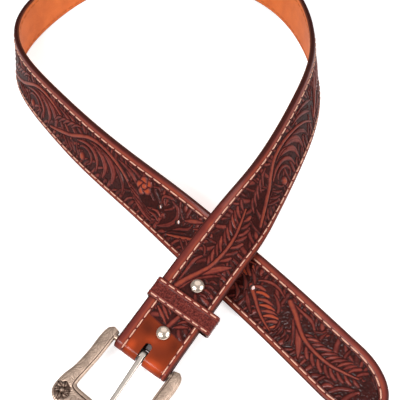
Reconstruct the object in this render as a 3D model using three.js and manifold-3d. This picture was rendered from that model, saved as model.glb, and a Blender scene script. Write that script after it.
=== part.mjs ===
// A western tooled leather belt, lying on a table: the strap stands on its edge round the
// waist loop, and its buckle end crosses over its free end.
// Millimetres, +Z up. The origin is the middle of the belt's box, at table height.
import * as THREE from 'three';
import { mergeVertices } from 'three/addons/utils/BufferGeometryUtils.js';
import Module from 'manifold-3d';

const wasm = await Module();
wasm.setup();

// Strap sizes
const strapLength = 1085;
const strapWidth = 38;
const outerThickness = 2.6;
const liningThickness = 1.1;
const layerGap = 0.3;
const tipRound = 33;
const flatEnd = 72;
const turnBackLength = 68;
const liningStart = 18;

// Adjustment holes
const holeCount = 7;
const holePitch = 17.4;
const firstHoleFromTip = 108;
const holeDiameter = 3.2;

// Buckle sizes
const barDiameter = 4;
const barClearance = 0.3;
const armClearance = 1;
const buckleReach = 54;
const buckleHalfWidth = 32;
const windowReach = 38.5;
const frameDepthBelow = 1.6;
const frameEdgeHeight = 1.1;
const frameCrown = 1.6;
const buckleShift = 0.6;
const tableGap = 0.2;
const flowerRadius = 3.4;
const petalRadius = 1.7;
const petalCount = 6;

// Prong sizes
const prongWidth = 3.4;
const prongThickness = 2.2;
const prongLoopWall = 1.6;
const prongReach = 50;
const prongSkew = 4;
const restGap = 0.3;
const slotSideClearance = 0.9;
const slotReach = 13;

// Keeper sizes
const keeperCentre = 43.3;
const keeperWidth = 13.5;
const keeperThickness = 1.6;
const keeperFit = 0.35;
const keeperSlack = 4.6;
const keeperCornerRadius = 0.6;

// Stud sizes
const studDiameter = 9;
const studDome = 2.3;
const studRim = 0.5;
const studPostDiameter = 3.5;
const studBackThickness = 1;
const studFit = 0.3;
const studOffset = -2;
const studPlaces = [22.8, 58.2];

// How the strap lies, in even steps from the end of the flat buckle end to the tip: its
// heading over the table in degrees, its lean away from standing on edge in degrees, and
// its rise off the table as a share of the rise that carries it over the free end.
const lay = [
  { heading: 53.5, lean: 79, rise: 1.12 },
  { heading: 60.5, lean: 38, rise: 0.95 },
  { heading: 70, lean: 24.5, rise: 1 },
  { heading: 88.5, lean: 9.5, rise: 0.45 },
  { heading: 111, lean: -1.5, rise: 0.17 },
  { heading: 147.5, lean: -2.5, rise: 0 },
  { heading: 184.5, lean: 1, rise: 0 },
  { heading: 222, lean: 4, rise: 0 },
  { heading: 248, lean: 1.5, rise: 0 },
  { heading: 300, lean: 14, rise: 0 },
  { heading: 310.5, lean: 23.5, rise: 0 },
  { heading: 316, lean: 32.5, rise: 0 },
  { heading: 314.5, lean: 56, rise: 0 },
  { heading: 311, lean: 61, rise: 0 },
  { heading: 311.5, lean: 67, rise: 0 },
];
// The gap to keep where the strap crosses itself, and the shares of its length between
// which the crossing is looked for on the upper and on the lower stretch.
const crossingGap = 0.8;
const crossing = { upperFrom: 0.06, upperTo: 0.23, lowerFrom: 0.7, lowerTo: 0.93 };

// Half of the buckle's outline, from the end of its arm round to the middle of its front:
// the outer edge in shares of the reach and the half width, the inner edge in shares of the
// window's reach and half width, and the crown's share of its full height.
const frameRows = [
  { outerFront: -0.065, outerSide: 0.7, innerFront: -0.09, innerSide: 1.01, crown: 0.3 },
  { outerFront: 0, outerSide: 0.8, innerFront: 0, innerSide: 1, crown: 0.7 },
  { outerFront: 0.12, outerSide: 0.855, innerFront: 0.15, innerSide: 1, crown: 0.9 },
  { outerFront: 0.3, outerSide: 0.88, innerFront: 0.42, innerSide: 1, crown: 0.9 },
  { outerFront: 0.52, outerSide: 0.95, innerFront: 0.72, innerSide: 1.04, crown: 1 },
  { outerFront: 0.7, outerSide: 1, innerFront: 0.9, innerSide: 1.06, crown: 1 },
  { outerFront: 0.86, outerSide: 0.96, innerFront: 0.96, innerSide: 1, crown: 1 },
  { outerFront: 0.94, outerSide: 0.8, innerFront: 0.98, innerSide: 0.85, crown: 1 },
  { outerFront: 0.98, outerSide: 0.48, innerFront: 0.99, innerSide: 0.5, crown: 1 },
  { outerFront: 1, outerSide: 0, innerFront: 1, innerSide: 0, crown: 1 },
];

// Fineness of the faceted surfaces
const stationStep = 9;
const acrossParts = 4;
const pathSteps = 1000;
const bendSteps = 8;
const tipSteps = 8;

const stackThickness = outerThickness + layerGap + liningThickness;
const face = stackThickness / 2;
const backFace = -face;
const foldInside = barDiameter / 2 + barClearance;
const foldMiddle = foldInside + outerThickness / 2;
const barAlong = foldInside + outerThickness;
const barLevel = face - outerThickness - foldInside;
const turnBackMiddle = backFace - layerGap - outerThickness / 2;
const turnBackFace = turnBackMiddle - outerThickness / 2;
const foldDrop = backFace - (barLevel - foldInside - outerThickness);
const windowHalfWidth = strapWidth / 2 + armClearance;
const radians = THREE.MathUtils.degToRad;

// A value of one column of the lay table, at a share of the way from the flat end to the
// tip: a smooth curve through the rows, starting at the given slope.
function layValue(column, share, startSlope = 0) {
  const spans = lay.length - 1;
  const place = THREE.MathUtils.clamp(share, 0, 1) * spans;
  const row = Math.min(Math.floor(place), spans - 1);
  const t = place - row;
  const slopeAt = (index) => {
    if (index === 0) return startSlope;
    if (index === spans) return lay[spans][column] - lay[spans - 1][column];
    return (lay[index + 1][column] - lay[index - 1][column]) / 2;
  };
  const t2 = t * t;
  const t3 = t2 * t;
  return lay[row][column] * (2 * t3 - 3 * t2 + 1)
    + slopeAt(row) * (t3 - 2 * t2 + t)
    + lay[row + 1][column] * (3 * t2 - 2 * t3)
    + slopeAt(row + 1) * (t3 - t2);
}

// The strap's middle line on the table, as frames at even steps of its length. along runs
// to the tip, across runs from the lower edge to the upper one, out leaves the tooled face.
function layStrap(fullRise) {
  const freeLength = strapLength - flatEnd;
  const flatRise = lay[0].rise * fullRise - foldDrop;
  const startSlope = (flatRise / flatEnd) * (freeLength / (lay.length - 1)) / fullRise;
  const riseAt = (s) => {
    if (s < flatEnd) return foldDrop + flatRise * s / flatEnd;
    return fullRise * layValue('rise', (s - flatEnd) / freeLength, startSlope);
  };
  const leanAt = (s) => radians(layValue('lean', (s - flatEnd) / freeLength));
  const heightAt = (s) => riseAt(s)
    + strapWidth / 2 * Math.abs(Math.cos(leanAt(s)))
    + face * Math.abs(Math.sin(leanAt(s)));
  const step = strapLength / pathSteps;
  const frames = [];
  const point = new THREE.Vector3(0, 0, heightAt(0));
  for (let i = 0; i <= pathSteps; i += 1) {
    const s = i * step;
    const heading = radians(layValue('heading', (s - flatEnd) / freeLength));
    const slope = (heightAt(s + step / 2) - heightAt(s - step / 2)) / step;
    const level = Math.sqrt(1 - slope * slope);
    const along = new THREE.Vector3(Math.cos(heading) * level, Math.sin(heading) * level, slope);
    const inward = new THREE.Vector3(-Math.sin(heading), Math.cos(heading), 0);
    const across = new THREE.Vector3(0, 0, Math.cos(leanAt(s)))
      .addScaledVector(inward, Math.sin(leanAt(s)));
    across.addScaledVector(along, -across.dot(along)).normalize();
    const out = new THREE.Vector3().crossVectors(along, across);
    frames.push({ point: point.clone(), along, across, out });
    point.addScaledVector(along, step);
  }
  return frames;
}

// A point beside the strap: a place along it, across it from the middle line, and out of
// its tooled face from the middle of its thickness.
function besideStrap(frames, alongStrap, acrossStrap, outOfStrap) {
  const place = THREE.MathUtils.clamp(alongStrap / strapLength, 0, 1) * pathSteps;
  const index = Math.min(Math.floor(place), pathSteps - 1);
  const from = frames[index];
  const to = frames[index + 1];
  const t = place - index;
  const across = from.across.clone().lerp(to.across, t).normalize();
  const out = from.out.clone().lerp(to.out, t).normalize();
  return from.point.clone().lerp(to.point, t)
    .addScaledVector(across, acrossStrap)
    .addScaledVector(out, outOfStrap);
}

// The smallest gap between the two stretches of strap where they cross: points on the face
// of one that looks at the other, measured out of the other's face.
function gapAtCrossing(frames) {
  const halfWidth = strapWidth / 2;
  const upper = frames.slice(crossing.upperFrom * pathSteps, crossing.upperTo * pathSteps);
  const lower = frames.slice(crossing.lowerFrom * pathSteps, crossing.lowerTo * pathSteps);
  const offset = new THREE.Vector3();
  const probe = new THREE.Vector3();
  const gapBetween = (probed, measured, side) => {
    let smallest = Infinity;
    for (const frame of probed) {
      for (let i = 0; i <= acrossParts; i += 1) {
        probe.copy(frame.point)
          .addScaledVector(frame.across, strapWidth * (i / acrossParts - 0.5))
          .addScaledVector(frame.out, -side * face);
        let nearest = null;
        let nearestAlong = 1;
        for (const other of measured) {
          offset.subVectors(probe, other.point);
          const away = Math.abs(offset.dot(other.along));
          if (away < nearestAlong && offset.length() < strapWidth) {
            nearestAlong = away;
            nearest = other;
          }
        }
        if (nearest === null) continue;
        offset.subVectors(probe, nearest.point);
        if (Math.abs(offset.dot(nearest.across)) > halfWidth + face) continue;
        smallest = Math.min(smallest, side * offset.dot(nearest.out) - face);
      }
    }
    return smallest;
  };
  return Math.min(gapBetween(upper, lower, 1), gapBetween(lower, upper, -1));
}

// The rise that carries the buckle end over the free end with the crossing gap to spare.
function riseOverCrossing() {
  let low = strapWidth / 4;
  let high = strapWidth * 1.5;
  const halvings = 8;
  for (let i = 0; i < halvings; i += 1) {
    const middle = (low + high) / 2;
    if (gapAtCrossing(layStrap(middle)) > crossingGap) high = middle;
    else low = middle;
  }
  return high;
}

const strapFrames = layStrap(riseOverCrossing());

// A point of the flat buckle end. It also reaches back past the fold.
function flatPoint(alongStrap, acrossStrap, outOfStrap) {
  const frame = strapFrames[0];
  return frame.point.clone()
    .addScaledVector(frame.along, alongStrap)
    .addScaledVector(frame.across, acrossStrap)
    .addScaledVector(frame.out, outOfStrap);
}

// Turns the triangles of a closed geometry so that its faces point out.
function facingOut(geometry) {
  const position = geometry.getAttribute('position');
  const index = geometry.getIndex();
  const a = new THREE.Vector3();
  const b = new THREE.Vector3();
  const c = new THREE.Vector3();
  let volume = 0;
  for (let i = 0; i < index.count; i += 3) {
    a.fromBufferAttribute(position, index.getX(i));
    b.fromBufferAttribute(position, index.getX(i + 1));
    c.fromBufferAttribute(position, index.getX(i + 2));
    volume += a.dot(b.cross(c));
  }
  if (volume < 0) {
    for (let i = 0; i < index.count; i += 3) {
      const first = index.getX(i);
      index.setX(i, index.getX(i + 1));
      index.setX(i + 1, first);
    }
  }
  return geometry;
}

// A solid between a row of upper points and a row of lower points at each station. The
// stations join end to end in a ring, or are closed by a cap at each end.
function stripSolid(stations, ring = false) {
  const count = stations[0].upper.length;
  const positions = [];
  for (const station of stations) {
    for (const p of [...station.upper, ...station.lower]) positions.push(p.x, p.y, p.z);
  }
  const upper = (station, i) => (station % stations.length) * count * 2 + i;
  const lower = (station, i) => upper(station, i) + count;
  const triangles = [];
  const quad = (a, b, c, d) => triangles.push(a, b, c, a, c, d);
  const spans = ring ? stations.length : stations.length - 1;
  for (let s = 0; s < spans; s += 1) {
    for (let i = 0; i < count - 1; i += 1) {
      quad(upper(s, i), upper(s, i + 1), upper(s + 1, i + 1), upper(s + 1, i));
      triangles.push(lower(s, i), lower(s + 1, i + 1), lower(s, i + 1));
      triangles.push(lower(s, i), lower(s + 1, i), lower(s + 1, i + 1));
    }
    quad(lower(s, 0), upper(s, 0), upper(s + 1, 0), lower(s + 1, 0));
    quad(upper(s, count - 1), lower(s, count - 1), lower(s + 1, count - 1), upper(s + 1, count - 1));
  }
  if (!ring) {
    const last = stations.length - 1;
    for (let i = 0; i < count - 1; i += 1) {
      quad(lower(0, i), lower(0, i + 1), upper(0, i + 1), upper(0, i));
      quad(upper(last, i), upper(last, i + 1), lower(last, i + 1), lower(last, i));
    }
  }
  const geometry = new THREE.BufferGeometry();
  geometry.setAttribute('position', new THREE.Float32BufferAttribute(positions, 3));
  geometry.setIndex(triangles);
  return facingOut(geometry);
}

function toSolid(geometry) {
  const bare = geometry.clone();
  bare.deleteAttribute('normal');
  bare.deleteAttribute('uv');
  const merged = mergeVertices(bare, 1e-4);
  return new wasm.Manifold(new wasm.Mesh({
    numProp: 3,
    vertProperties: new Float32Array(merged.getAttribute('position').array),
    triVerts: new Uint32Array(merged.getIndex().array),
  }));
}

function toGeometry(solid) {
  const mesh = solid.getMesh();
  const geometry = new THREE.BufferGeometry();
  geometry.setAttribute('position', new THREE.BufferAttribute(mesh.vertProperties, 3));
  geometry.setIndex(new THREE.BufferAttribute(mesh.triVerts, 1));
  return geometry;
}

function cutFrom(geometry, tools) {
  let solid = toSolid(geometry);
  for (const tool of tools) solid = solid.subtract(toSolid(tool));
  return toGeometry(solid);
}

function joinAll(geometries) {
  const [first, ...rest] = geometries.map(toSolid);
  let solid = first;
  for (const other of rest) solid = solid.add(other);
  return toGeometry(solid);
}

// A geometry made in the strap's own axes (X along, Y across, Z out), moved to its place.
function placedOnStrap(geometry, alongStrap, acrossStrap, outOfStrap) {
  const index = Math.round(THREE.MathUtils.clamp(alongStrap / strapLength, 0, 1) * pathSteps);
  const frame = strapFrames[index];
  const matrix = new THREE.Matrix4().makeBasis(frame.along, frame.across, frame.out);
  matrix.setPosition(alongStrap < flatEnd
    ? flatPoint(alongStrap, acrossStrap, outOfStrap)
    : besideStrap(strapFrames, alongStrap, acrossStrap, outOfStrap));
  return geometry.clone().applyMatrix4(matrix);
}

// A round punch that stands out of the strap's face.
function punch(diameter, alongStrap, acrossStrap) {
  const depth = stackThickness * 6;
  const sides = 12;
  const cylinder = new THREE.CylinderGeometry(diameter / 2, diameter / 2, depth, sides);
  cylinder.rotateX(Math.PI / 2);
  return placedOnStrap(cylinder, alongStrap, acrossStrap, 0);
}

function halfWidthAt(alongStrap) {
  const intoRound = (alongStrap - (strapLength - tipRound)) / tipRound;
  if (intoRound <= 0) return strapWidth / 2;
  const bluntEnd = 0.04;
  return strapWidth / 2 * Math.max(Math.sqrt(Math.max(0, 1 - intoRound * intoRound)), bluntEnd);
}

// Places along the strap where its sections stand, closer together round the tip.
function stationPlaces(start) {
  const places = [start];
  const straight = strapLength - tipRound - flatEnd;
  const count = Math.ceil(straight / stationStep);
  for (let i = 0; i <= count; i += 1) places.push(flatEnd + straight * i / count);
  for (let i = 1; i <= tipSteps; i += 1) {
    const angle = Math.PI / 2 * i / tipSteps;
    places.push(strapLength - tipRound + tipRound * Math.sin(angle));
  }
  return places;
}

// One layer of the strap between two levels, from a place on the flat end to the tip.
function layerStations(start, upperLevel, lowerLevel) {
  return stationPlaces(start).map((place) => {
    const halfWidth = halfWidthAt(place);
    const rowAt = (level) => Array.from({ length: acrossParts + 1 }, (_, i) => {
      const across = halfWidth * (2 * i / acrossParts - 1);
      return place <= flatEnd
        ? flatPoint(place, across, level)
        : besideStrap(strapFrames, place, across, level);
    });
    return { upper: rowAt(upperLevel), lower: rowAt(lowerLevel) };
  });
}

// The end of the outer layer that turns round the buckle's bar and comes back under the
// strap, as stations from its cut end to the top of the fold.
function turnBackStations() {
  const bendTop = barLevel - foldMiddle;
  const profile = [{ along: turnBackLength, level: turnBackMiddle, angle: Math.PI }];
  for (let i = 0; i <= bendSteps; i += 1) {
    const t = i / bendSteps;
    const ease = t * t * (3 - 2 * t);
    const run = liningStart - barAlong;
    const fall = bendTop - turnBackMiddle;
    profile.push({
      along: liningStart - run * t,
      level: turnBackMiddle + fall * ease,
      angle: Math.PI + Math.atan2(-fall * 6 * t * (1 - t), run),
    });
  }
  for (let i = 1; i < bendSteps; i += 1) {
    const angle = Math.PI - Math.PI * i / bendSteps;
    profile.push({
      along: barAlong - foldMiddle * Math.sin(angle),
      level: barLevel + foldMiddle * Math.cos(angle),
      angle,
    });
  }
  const half = outerThickness / 2;
  return profile.map(({ along, level, angle }) => {
    const normalAlong = -Math.sin(angle);
    const normalOut = Math.cos(angle);
    const rowAt = (side) => Array.from({ length: acrossParts + 1 }, (_, i) => flatPoint(
      along + normalAlong * half * side,
      strapWidth * (i / acrossParts - 0.5),
      level + normalOut * half * side,
    ));
    return { upper: rowAt(1), lower: rowAt(-1) };
  });
}

function adjustmentPunches() {
  return Array.from({ length: holeCount }, (_, i) => (
    punch(holeDiameter, strapLength - firstHoleFromTip - holePitch * i, 0)
  ));
}

function studPunches() {
  return studPlaces.map((place) => punch(studPostDiameter + 2 * studFit, place, studOffset));
}

// The slot that lets the prong through the fold: a straight cut with a round end.
function slotCutter() {
  const halfWidth = prongWidth / 2 + slotSideClearance;
  const shape = new THREE.Shape();
  shape.moveTo(-barAlong, -halfWidth);
  shape.lineTo(slotReach - halfWidth, -halfWidth);
  shape.absarc(slotReach - halfWidth, 0, halfWidth, -Math.PI / 2, Math.PI / 2);
  shape.lineTo(-barAlong, halfWidth);
  shape.closePath();
  const depth = stackThickness * 6;
  const cutter = new THREE.ExtrudeGeometry(shape, { depth, bevelEnabled: false, curveSegments: 8 });
  cutter.translate(0, 0, -depth / 2);
  return placedOnStrap(cutter, 0, 0, 0);
}

function makeStrapOuter() {
  const levelBelow = face - outerThickness;
  const body = stripSolid([...turnBackStations(), ...layerStations(barAlong, face, levelBelow)]);
  return cutFrom(body, [slotCutter(), ...studPunches(), ...adjustmentPunches()]);
}

function makeStrapLining() {
  const body = stripSolid(layerStations(liningStart, backFace + liningThickness, backFace));
  return cutFrom(body, [...studPunches(), ...adjustmentPunches()]);
}

// The keeper: a leather band round the strap and its turned-back end, lying slack to one side.
function makeKeeper() {
  const low = { across: -strapWidth / 2 - keeperSlack, level: turnBackFace - keeperFit };
  const high = { across: strapWidth / 2 + keeperFit, level: face + keeperFit };
  const r = keeperCornerRadius;
  const cornerSteps = 4;
  const corners = [
    { across: high.across - r, level: high.level - r, from: 0 },
    { across: low.across + r, level: high.level - r, from: Math.PI / 2 },
    { across: low.across + r, level: low.level + r, from: Math.PI },
    { across: high.across - r, level: low.level + r, from: 3 * Math.PI / 2 },
  ];
  const stations = corners.flatMap((corner) => (
    Array.from({ length: cornerSteps + 1 }, (_, i) => {
      const angle = corner.from + Math.PI / 2 * i / cornerSteps;
      const rowAt = (radius) => [-keeperWidth / 2, keeperWidth / 2].map((side) => flatPoint(
        keeperCentre + side,
        corner.across + radius * Math.cos(angle),
        corner.level + radius * Math.sin(angle),
      ));
      return { upper: rowAt(r + keeperThickness), lower: rowAt(r) };
    })
  ));
  return stripSolid(stations, true);
}

// A domed stud with its post through both layers and the turned-back end, and its back disc.
function makeStud() {
  const radius = studDiameter / 2;
  const post = studPostDiameter / 2;
  const capLevel = face + studFit;
  const backLevel = turnBackFace - studFit;
  const domeSteps = 5;
  const sides = 16;
  const profile = [
    new THREE.Vector2(0, backLevel - studBackThickness),
    new THREE.Vector2(radius * 0.85, backLevel - studBackThickness),
    new THREE.Vector2(radius * 0.85, backLevel),
    new THREE.Vector2(post, backLevel),
    new THREE.Vector2(post, capLevel),
    new THREE.Vector2(radius, capLevel),
  ];
  for (let i = 0; i <= domeSteps; i += 1) {
    const angle = Math.PI / 2 * i / domeSteps;
    const r = i === domeSteps ? 0 : radius * Math.cos(angle);
    profile.push(new THREE.Vector2(r, capLevel + studRim + studDome * Math.sin(angle)));
  }
  const lathe = new THREE.LatheGeometry(profile, sides);
  lathe.rotateX(Math.PI / 2);
  return lathe;
}

// The buckle frame's own axes: X from the bar to the front, Y across, Z up, with the bar's
// middle at zero.
function frameOutline() {
  const mirrored = frameRows.slice(0, -1).reverse().map((row) => ({
    ...row,
    outerSide: -row.outerSide,
    innerSide: -row.innerSide,
  }));
  const rows = [...frameRows, ...mirrored];
  return {
    spans: rows.length - 1,
    outer: new THREE.SplineCurve(rows.map((row) => (
      new THREE.Vector2(row.outerFront * buckleReach, row.outerSide * buckleHalfWidth)
    ))),
    inner: new THREE.SplineCurve(rows.map((row) => (
      new THREE.Vector2(row.innerFront * windowReach, row.innerSide * windowHalfWidth)
    ))),
    crown: new THREE.SplineCurve(rows.map((row, i) => new THREE.Vector2(i, row.crown))),
  };
}

function cornerFlower(side) {
  const front = 0.84 * buckleReach;
  const across = side * 0.83 * buckleHalfWidth;
  const level = frameEdgeHeight + frameCrown * 0.8;
  const around = Array.from({ length: petalCount }, (_, i) => {
    const angle = 2 * Math.PI * i / petalCount;
    return new THREE.SphereGeometry(petalRadius, 8, 6)
      .translate(front + flowerRadius * Math.cos(angle), across + flowerRadius * Math.sin(angle), level);
  });
  const middle = new THREE.SphereGeometry(petalRadius * 1.25, 10, 8).translate(front, across, level);
  return [middle, ...around];
}

function makeBuckleFrame() {
  const outline = frameOutline();
  const stepsPerSpan = 3;
  const steps = outline.spans * stepsPerSpan;
  const domeParts = 4;
  const stations = Array.from({ length: steps + 1 }, (_, i) => {
    const t = i / steps;
    const inner = outline.inner.getPoint(t);
    const outer = outline.outer.getPoint(t);
    const crown = outline.crown.getPoint(t).y * frameCrown;
    const rowAt = (levelAt) => Array.from({ length: domeParts + 1 }, (_, j) => {
      const q = j / domeParts;
      const p = inner.clone().lerp(outer, q);
      return new THREE.Vector3(p.x, p.y, levelAt(q));
    });
    return {
      upper: rowAt((q) => frameEdgeHeight + crown * Math.sqrt(Math.max(0, 1 - (2 * q - 1) ** 2))),
      lower: rowAt(() => -frameDepthBelow),
    };
  });
  const barReach = windowHalfWidth + (buckleHalfWidth * frameRows[1].outerSide - windowHalfWidth) * 0.7;
  const bar = new THREE.CylinderGeometry(barDiameter / 2, barDiameter / 2, 2 * barReach, 16);
  return joinAll([stripSolid(stations), bar, ...cornerFlower(1), ...cornerFlower(-1)]);
}

// The prong: a loop round the bar and a tapered tongue that lies on the frame's front.
function makeProng() {
  const loopInside = barDiameter / 2 + barClearance;
  const loopOutside = loopInside + prongLoopWall;
  const half = prongWidth / 2;
  const loop = new THREE.LatheGeometry([
    new THREE.Vector2(loopInside, -half),
    new THREE.Vector2(loopOutside, -half),
    new THREE.Vector2(loopOutside, half),
    new THREE.Vector2(loopInside, half),
    new THREE.Vector2(loopInside, -half),
  ], 20);
  const seat = frameEdgeHeight + frameCrown + restGap + prongThickness / 2;
  const base = loopOutside - prongThickness / 2;
  const rows = [
    { reach: -0.01, level: base, width: 1, thickness: 1 },
    { reach: 0.1, level: base, width: 1, thickness: 1 },
    { reach: 0.35, level: (base + seat) / 2, width: 0.96, thickness: 1 },
    { reach: 0.68, level: seat, width: 0.9, thickness: 1 },
    { reach: 0.85, level: seat, width: 0.84, thickness: 0.95 },
    { reach: 0.96, level: seat - 0.4, width: 0.7, thickness: 0.8 },
    { reach: 1, level: seat - 0.8, width: 0.35, thickness: 0.5 },
  ];
  const skew = Math.tan(radians(prongSkew));
  const parts = 4;
  const stations = rows.map((row) => {
    const rowAt = (side) => Array.from({ length: parts + 1 }, (_, i) => {
      const q = 2 * i / parts - 1;
      const rounding = 0.45 + 0.55 * Math.sqrt(1 - q * q);
      return new THREE.Vector3(
        row.reach * prongReach,
        row.width * half * q + Math.max(row.reach, 0) * prongReach * skew,
        row.level + side * row.thickness * prongThickness / 2 * rounding,
      );
    });
    return { upper: rowAt(1), lower: rowAt(-1) };
  });
  const bore = new THREE.CylinderGeometry(loopInside, loopInside, prongWidth * 3, 20);
  const joined = toSolid(loop).add(toSolid(stripSolid(stations))).subtract(toSolid(bore));
  return toGeometry(joined);
}

function finish(colour, roughness, metalness) {
  return new THREE.MeshStandardMaterial({ color: colour, roughness, metalness });
}

function piece(name, geometry, material) {
  geometry.computeVertexNormals();
  const mesh = new THREE.Mesh(geometry, material);
  mesh.name = name;
  return mesh;
}

// The flat buckle end's axes as a group, for the hardware that sits on it.
function flatEndGroup() {
  const frame = strapFrames[0];
  const group = new THREE.Group();
  const matrix = new THREE.Matrix4().makeBasis(frame.along, frame.across, frame.out);
  group.quaternion.setFromRotationMatrix(matrix);
  group.position.copy(frame.point);
  return group;
}

// The height over the table of the buckle frame's lowest point, when the frame is tilted
// about the bar by an angle from in line with the strap.
function frameHeightAt(tilt) {
  const { point, along, across, out } = strapFrames[0];
  const bar = point.z + barAlong * along.z + buckleShift * across.z + barLevel * out.z;
  const front = -Math.cos(tilt) * along.z + Math.sin(tilt) * out.z;
  const up = Math.sin(tilt) * along.z + Math.cos(tilt) * out.z;
  return Math.min(...frameRows.map((row) => (
    bar + row.outerFront * buckleReach * front
      - row.outerSide * buckleHalfWidth * across.z - frameDepthBelow * up
  )));
}

// The tilt that lays the frame's front on the table.
function tiltToTable() {
  let low = radians(-30);
  let high = radians(60);
  const halvings = 24;
  for (let i = 0; i < halvings; i += 1) {
    const between = (low + high) / 2;
    if (frameHeightAt(between) > tableGap) high = between;
    else low = between;
  }
  return high;
}

// The buckle's axes inside the flat end's: turned about, so that its X leads to the front,
// and tilted about the bar towards the table.
function buckleGroup() {
  const tilt = tiltToTable();
  const front = new THREE.Vector3(-Math.cos(tilt), 0, Math.sin(tilt));
  const up = new THREE.Vector3(Math.sin(tilt), 0, Math.cos(tilt));
  const across = new THREE.Vector3().crossVectors(up, front);
  const group = new THREE.Group();
  group.quaternion.setFromRotationMatrix(new THREE.Matrix4().makeBasis(front, across, up));
  group.position.set(barAlong, buckleShift, barLevel);
  return group;
}

const belt = new THREE.Group();
belt.add(piece('strap_outer', makeStrapOuter(), finish(0x5a2415, 0.45, 0)));
belt.add(piece('strap_lining', makeStrapLining(), finish(0xb8713a, 0.6, 0)));
belt.add(piece('keeper', makeKeeper(), finish(0x4e1d14, 0.5, 0)));

const hardware = flatEndGroup();
studPlaces.forEach((place, i) => {
  const stud = piece(`stud_${i + 1}`, makeStud(), finish(0xc9c6bf, 0.25, 1));
  stud.position.set(place, studOffset, 0);
  hardware.add(stud);
});
const buckle = buckleGroup();
buckle.add(piece('buckle_frame', makeBuckleFrame(), finish(0xa9a59a, 0.4, 1)));
const prong = piece('prong', makeProng(), finish(0xb9b6ae, 0.3, 1));
prong.position.y = buckleShift;
buckle.add(prong);
hardware.add(buckle);
belt.add(hardware);

belt.updateMatrixWorld(true);
const box = new THREE.Box3().setFromObject(belt, true);
const middle = box.getCenter(new THREE.Vector3());
belt.position.set(-middle.x, -middle.y, -box.min.z);

export default belt;
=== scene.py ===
# The looks of a western tooled leather belt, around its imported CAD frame.
# Sizes are in millimetres. mesh_object turns them into Blender's metres.
import math
import bpy
import numpy as np
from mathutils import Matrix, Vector


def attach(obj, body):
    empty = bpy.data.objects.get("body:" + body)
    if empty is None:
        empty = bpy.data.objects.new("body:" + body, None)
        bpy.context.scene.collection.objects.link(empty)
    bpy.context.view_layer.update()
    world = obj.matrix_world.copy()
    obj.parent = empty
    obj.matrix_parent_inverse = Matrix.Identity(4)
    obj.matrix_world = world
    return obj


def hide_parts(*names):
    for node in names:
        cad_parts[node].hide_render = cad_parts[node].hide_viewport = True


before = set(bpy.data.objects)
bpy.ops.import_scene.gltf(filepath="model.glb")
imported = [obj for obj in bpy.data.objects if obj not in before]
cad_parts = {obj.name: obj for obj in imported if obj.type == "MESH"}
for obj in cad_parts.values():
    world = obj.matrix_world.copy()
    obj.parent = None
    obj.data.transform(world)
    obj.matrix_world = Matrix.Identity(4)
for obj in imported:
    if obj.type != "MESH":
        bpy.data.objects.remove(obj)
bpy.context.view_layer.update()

MM = 0.001

# Strap
STRAP_LENGTH = 1085.0
STRAP_WIDTH = 38.0
HALF_WIDTH = STRAP_WIDTH / 2
OUTER_THICKNESS = 2.6
FACE = 2.0
TIP_ROUND = 33.0
STRAIGHT = STRAP_LENGTH - TIP_ROUND
FLAT_END = 72.0
TURN_BACK = 68.0
LINING_START = 18.0
SEAM_LEVEL = FACE - OUTER_THICKNESS
TURN_BACK_MIDDLE = -3.6
TURN_BACK_FACE = -4.9
HOLE_COUNT = 7
HOLE_PITCH = 17.4
FIRST_HOLE_FROM_TIP = 108.0
HOLE_RADIUS = 1.6
HOLE_PLACES = [STRAP_LENGTH - FIRST_HOLE_FROM_TIP - HOLE_PITCH * i for i in range(HOLE_COUNT)]

# Bar, prong and buckle
BAR_ALONG = 4.9
BAR_LEVEL = -2.9
FOLD_RADIUS = 3.6
FOLD_DROP = 5.8
BUCKLE_SHIFT = 0.6
SLOT_REACH = 13.0
SLOT_REACH_BELOW = 9.6
SLOT_HALF_WIDTH = 2.45

# How the strap lies, in even steps from the flat end to the tip: heading over the table and
# lean away from standing on edge, in degrees, and rise as a share of the full rise.
LAY = np.array([
    (53.5, 79, 1.12), (60.5, 38, 0.95), (70, 24.5, 1), (88.5, 9.5, 0.45), (111, -1.5, 0.17),
    (147.5, -2.5, 0), (184.5, 1, 0), (222, 4, 0), (248, 1.5, 0), (300, 14, 0),
    (310.5, 23.5, 0), (316, 32.5, 0), (314.5, 56, 0), (311, 61, 0), (311.5, 67, 0),
])
HEADING, LEAN, RISE = range(3)
FULL_RISE = 20.8184
PATH_STEPS = 1000
PATH_SHIFT = np.array([-15.5797, -172.7502, 0.1294])

# Stitching
STITCH_LENGTH = 7.4
STITCH_GAP = 0.7
STITCH_RADIUS = 0.46
INSET_LOWER = 3.1
INSET_UPPER = 4.5
INSET_UPPER_AT_BUCKLE = 5.9

# Tooling
TOOLING_START = 26.0
TOOLING_SLANT = 0.12
FIELD_LOWER = -14.0
FIELD_UPPER = 12.6
FIELD_FROM_STITCHES = 1.5
GROUND_DEPTH = 0.5
GROUND_TONE = 0.1
GROOVE_WIDTH = 0.75
GROOVE_DEPTH = 0.12
GROOVE_TONE = 0.03
EDGE_RADIUS = 1.25
CELL = 0.38


def unit(a):
    return a / np.linalg.norm(a, axis=-1, keepdims=True)


def smooth(a, low, high):
    """0 below low, 1 above high and a smooth step between them."""
    t = np.clip((a - low) / (high - low), 0, 1)
    return t * t * (3 - 2 * t)


def bell(a, width):
    """1 where a is 0, fading to nothing about two widths away."""
    return np.exp(-((a / width) ** 2))


def ring_angles(count):
    return np.arange(count) * 2 * math.pi / count


def distances_along(line):
    """How far each point of a polyline lies along it."""
    return np.concatenate([[0], np.cumsum(np.linalg.norm(np.diff(line, axis=0), axis=1))])


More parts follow.
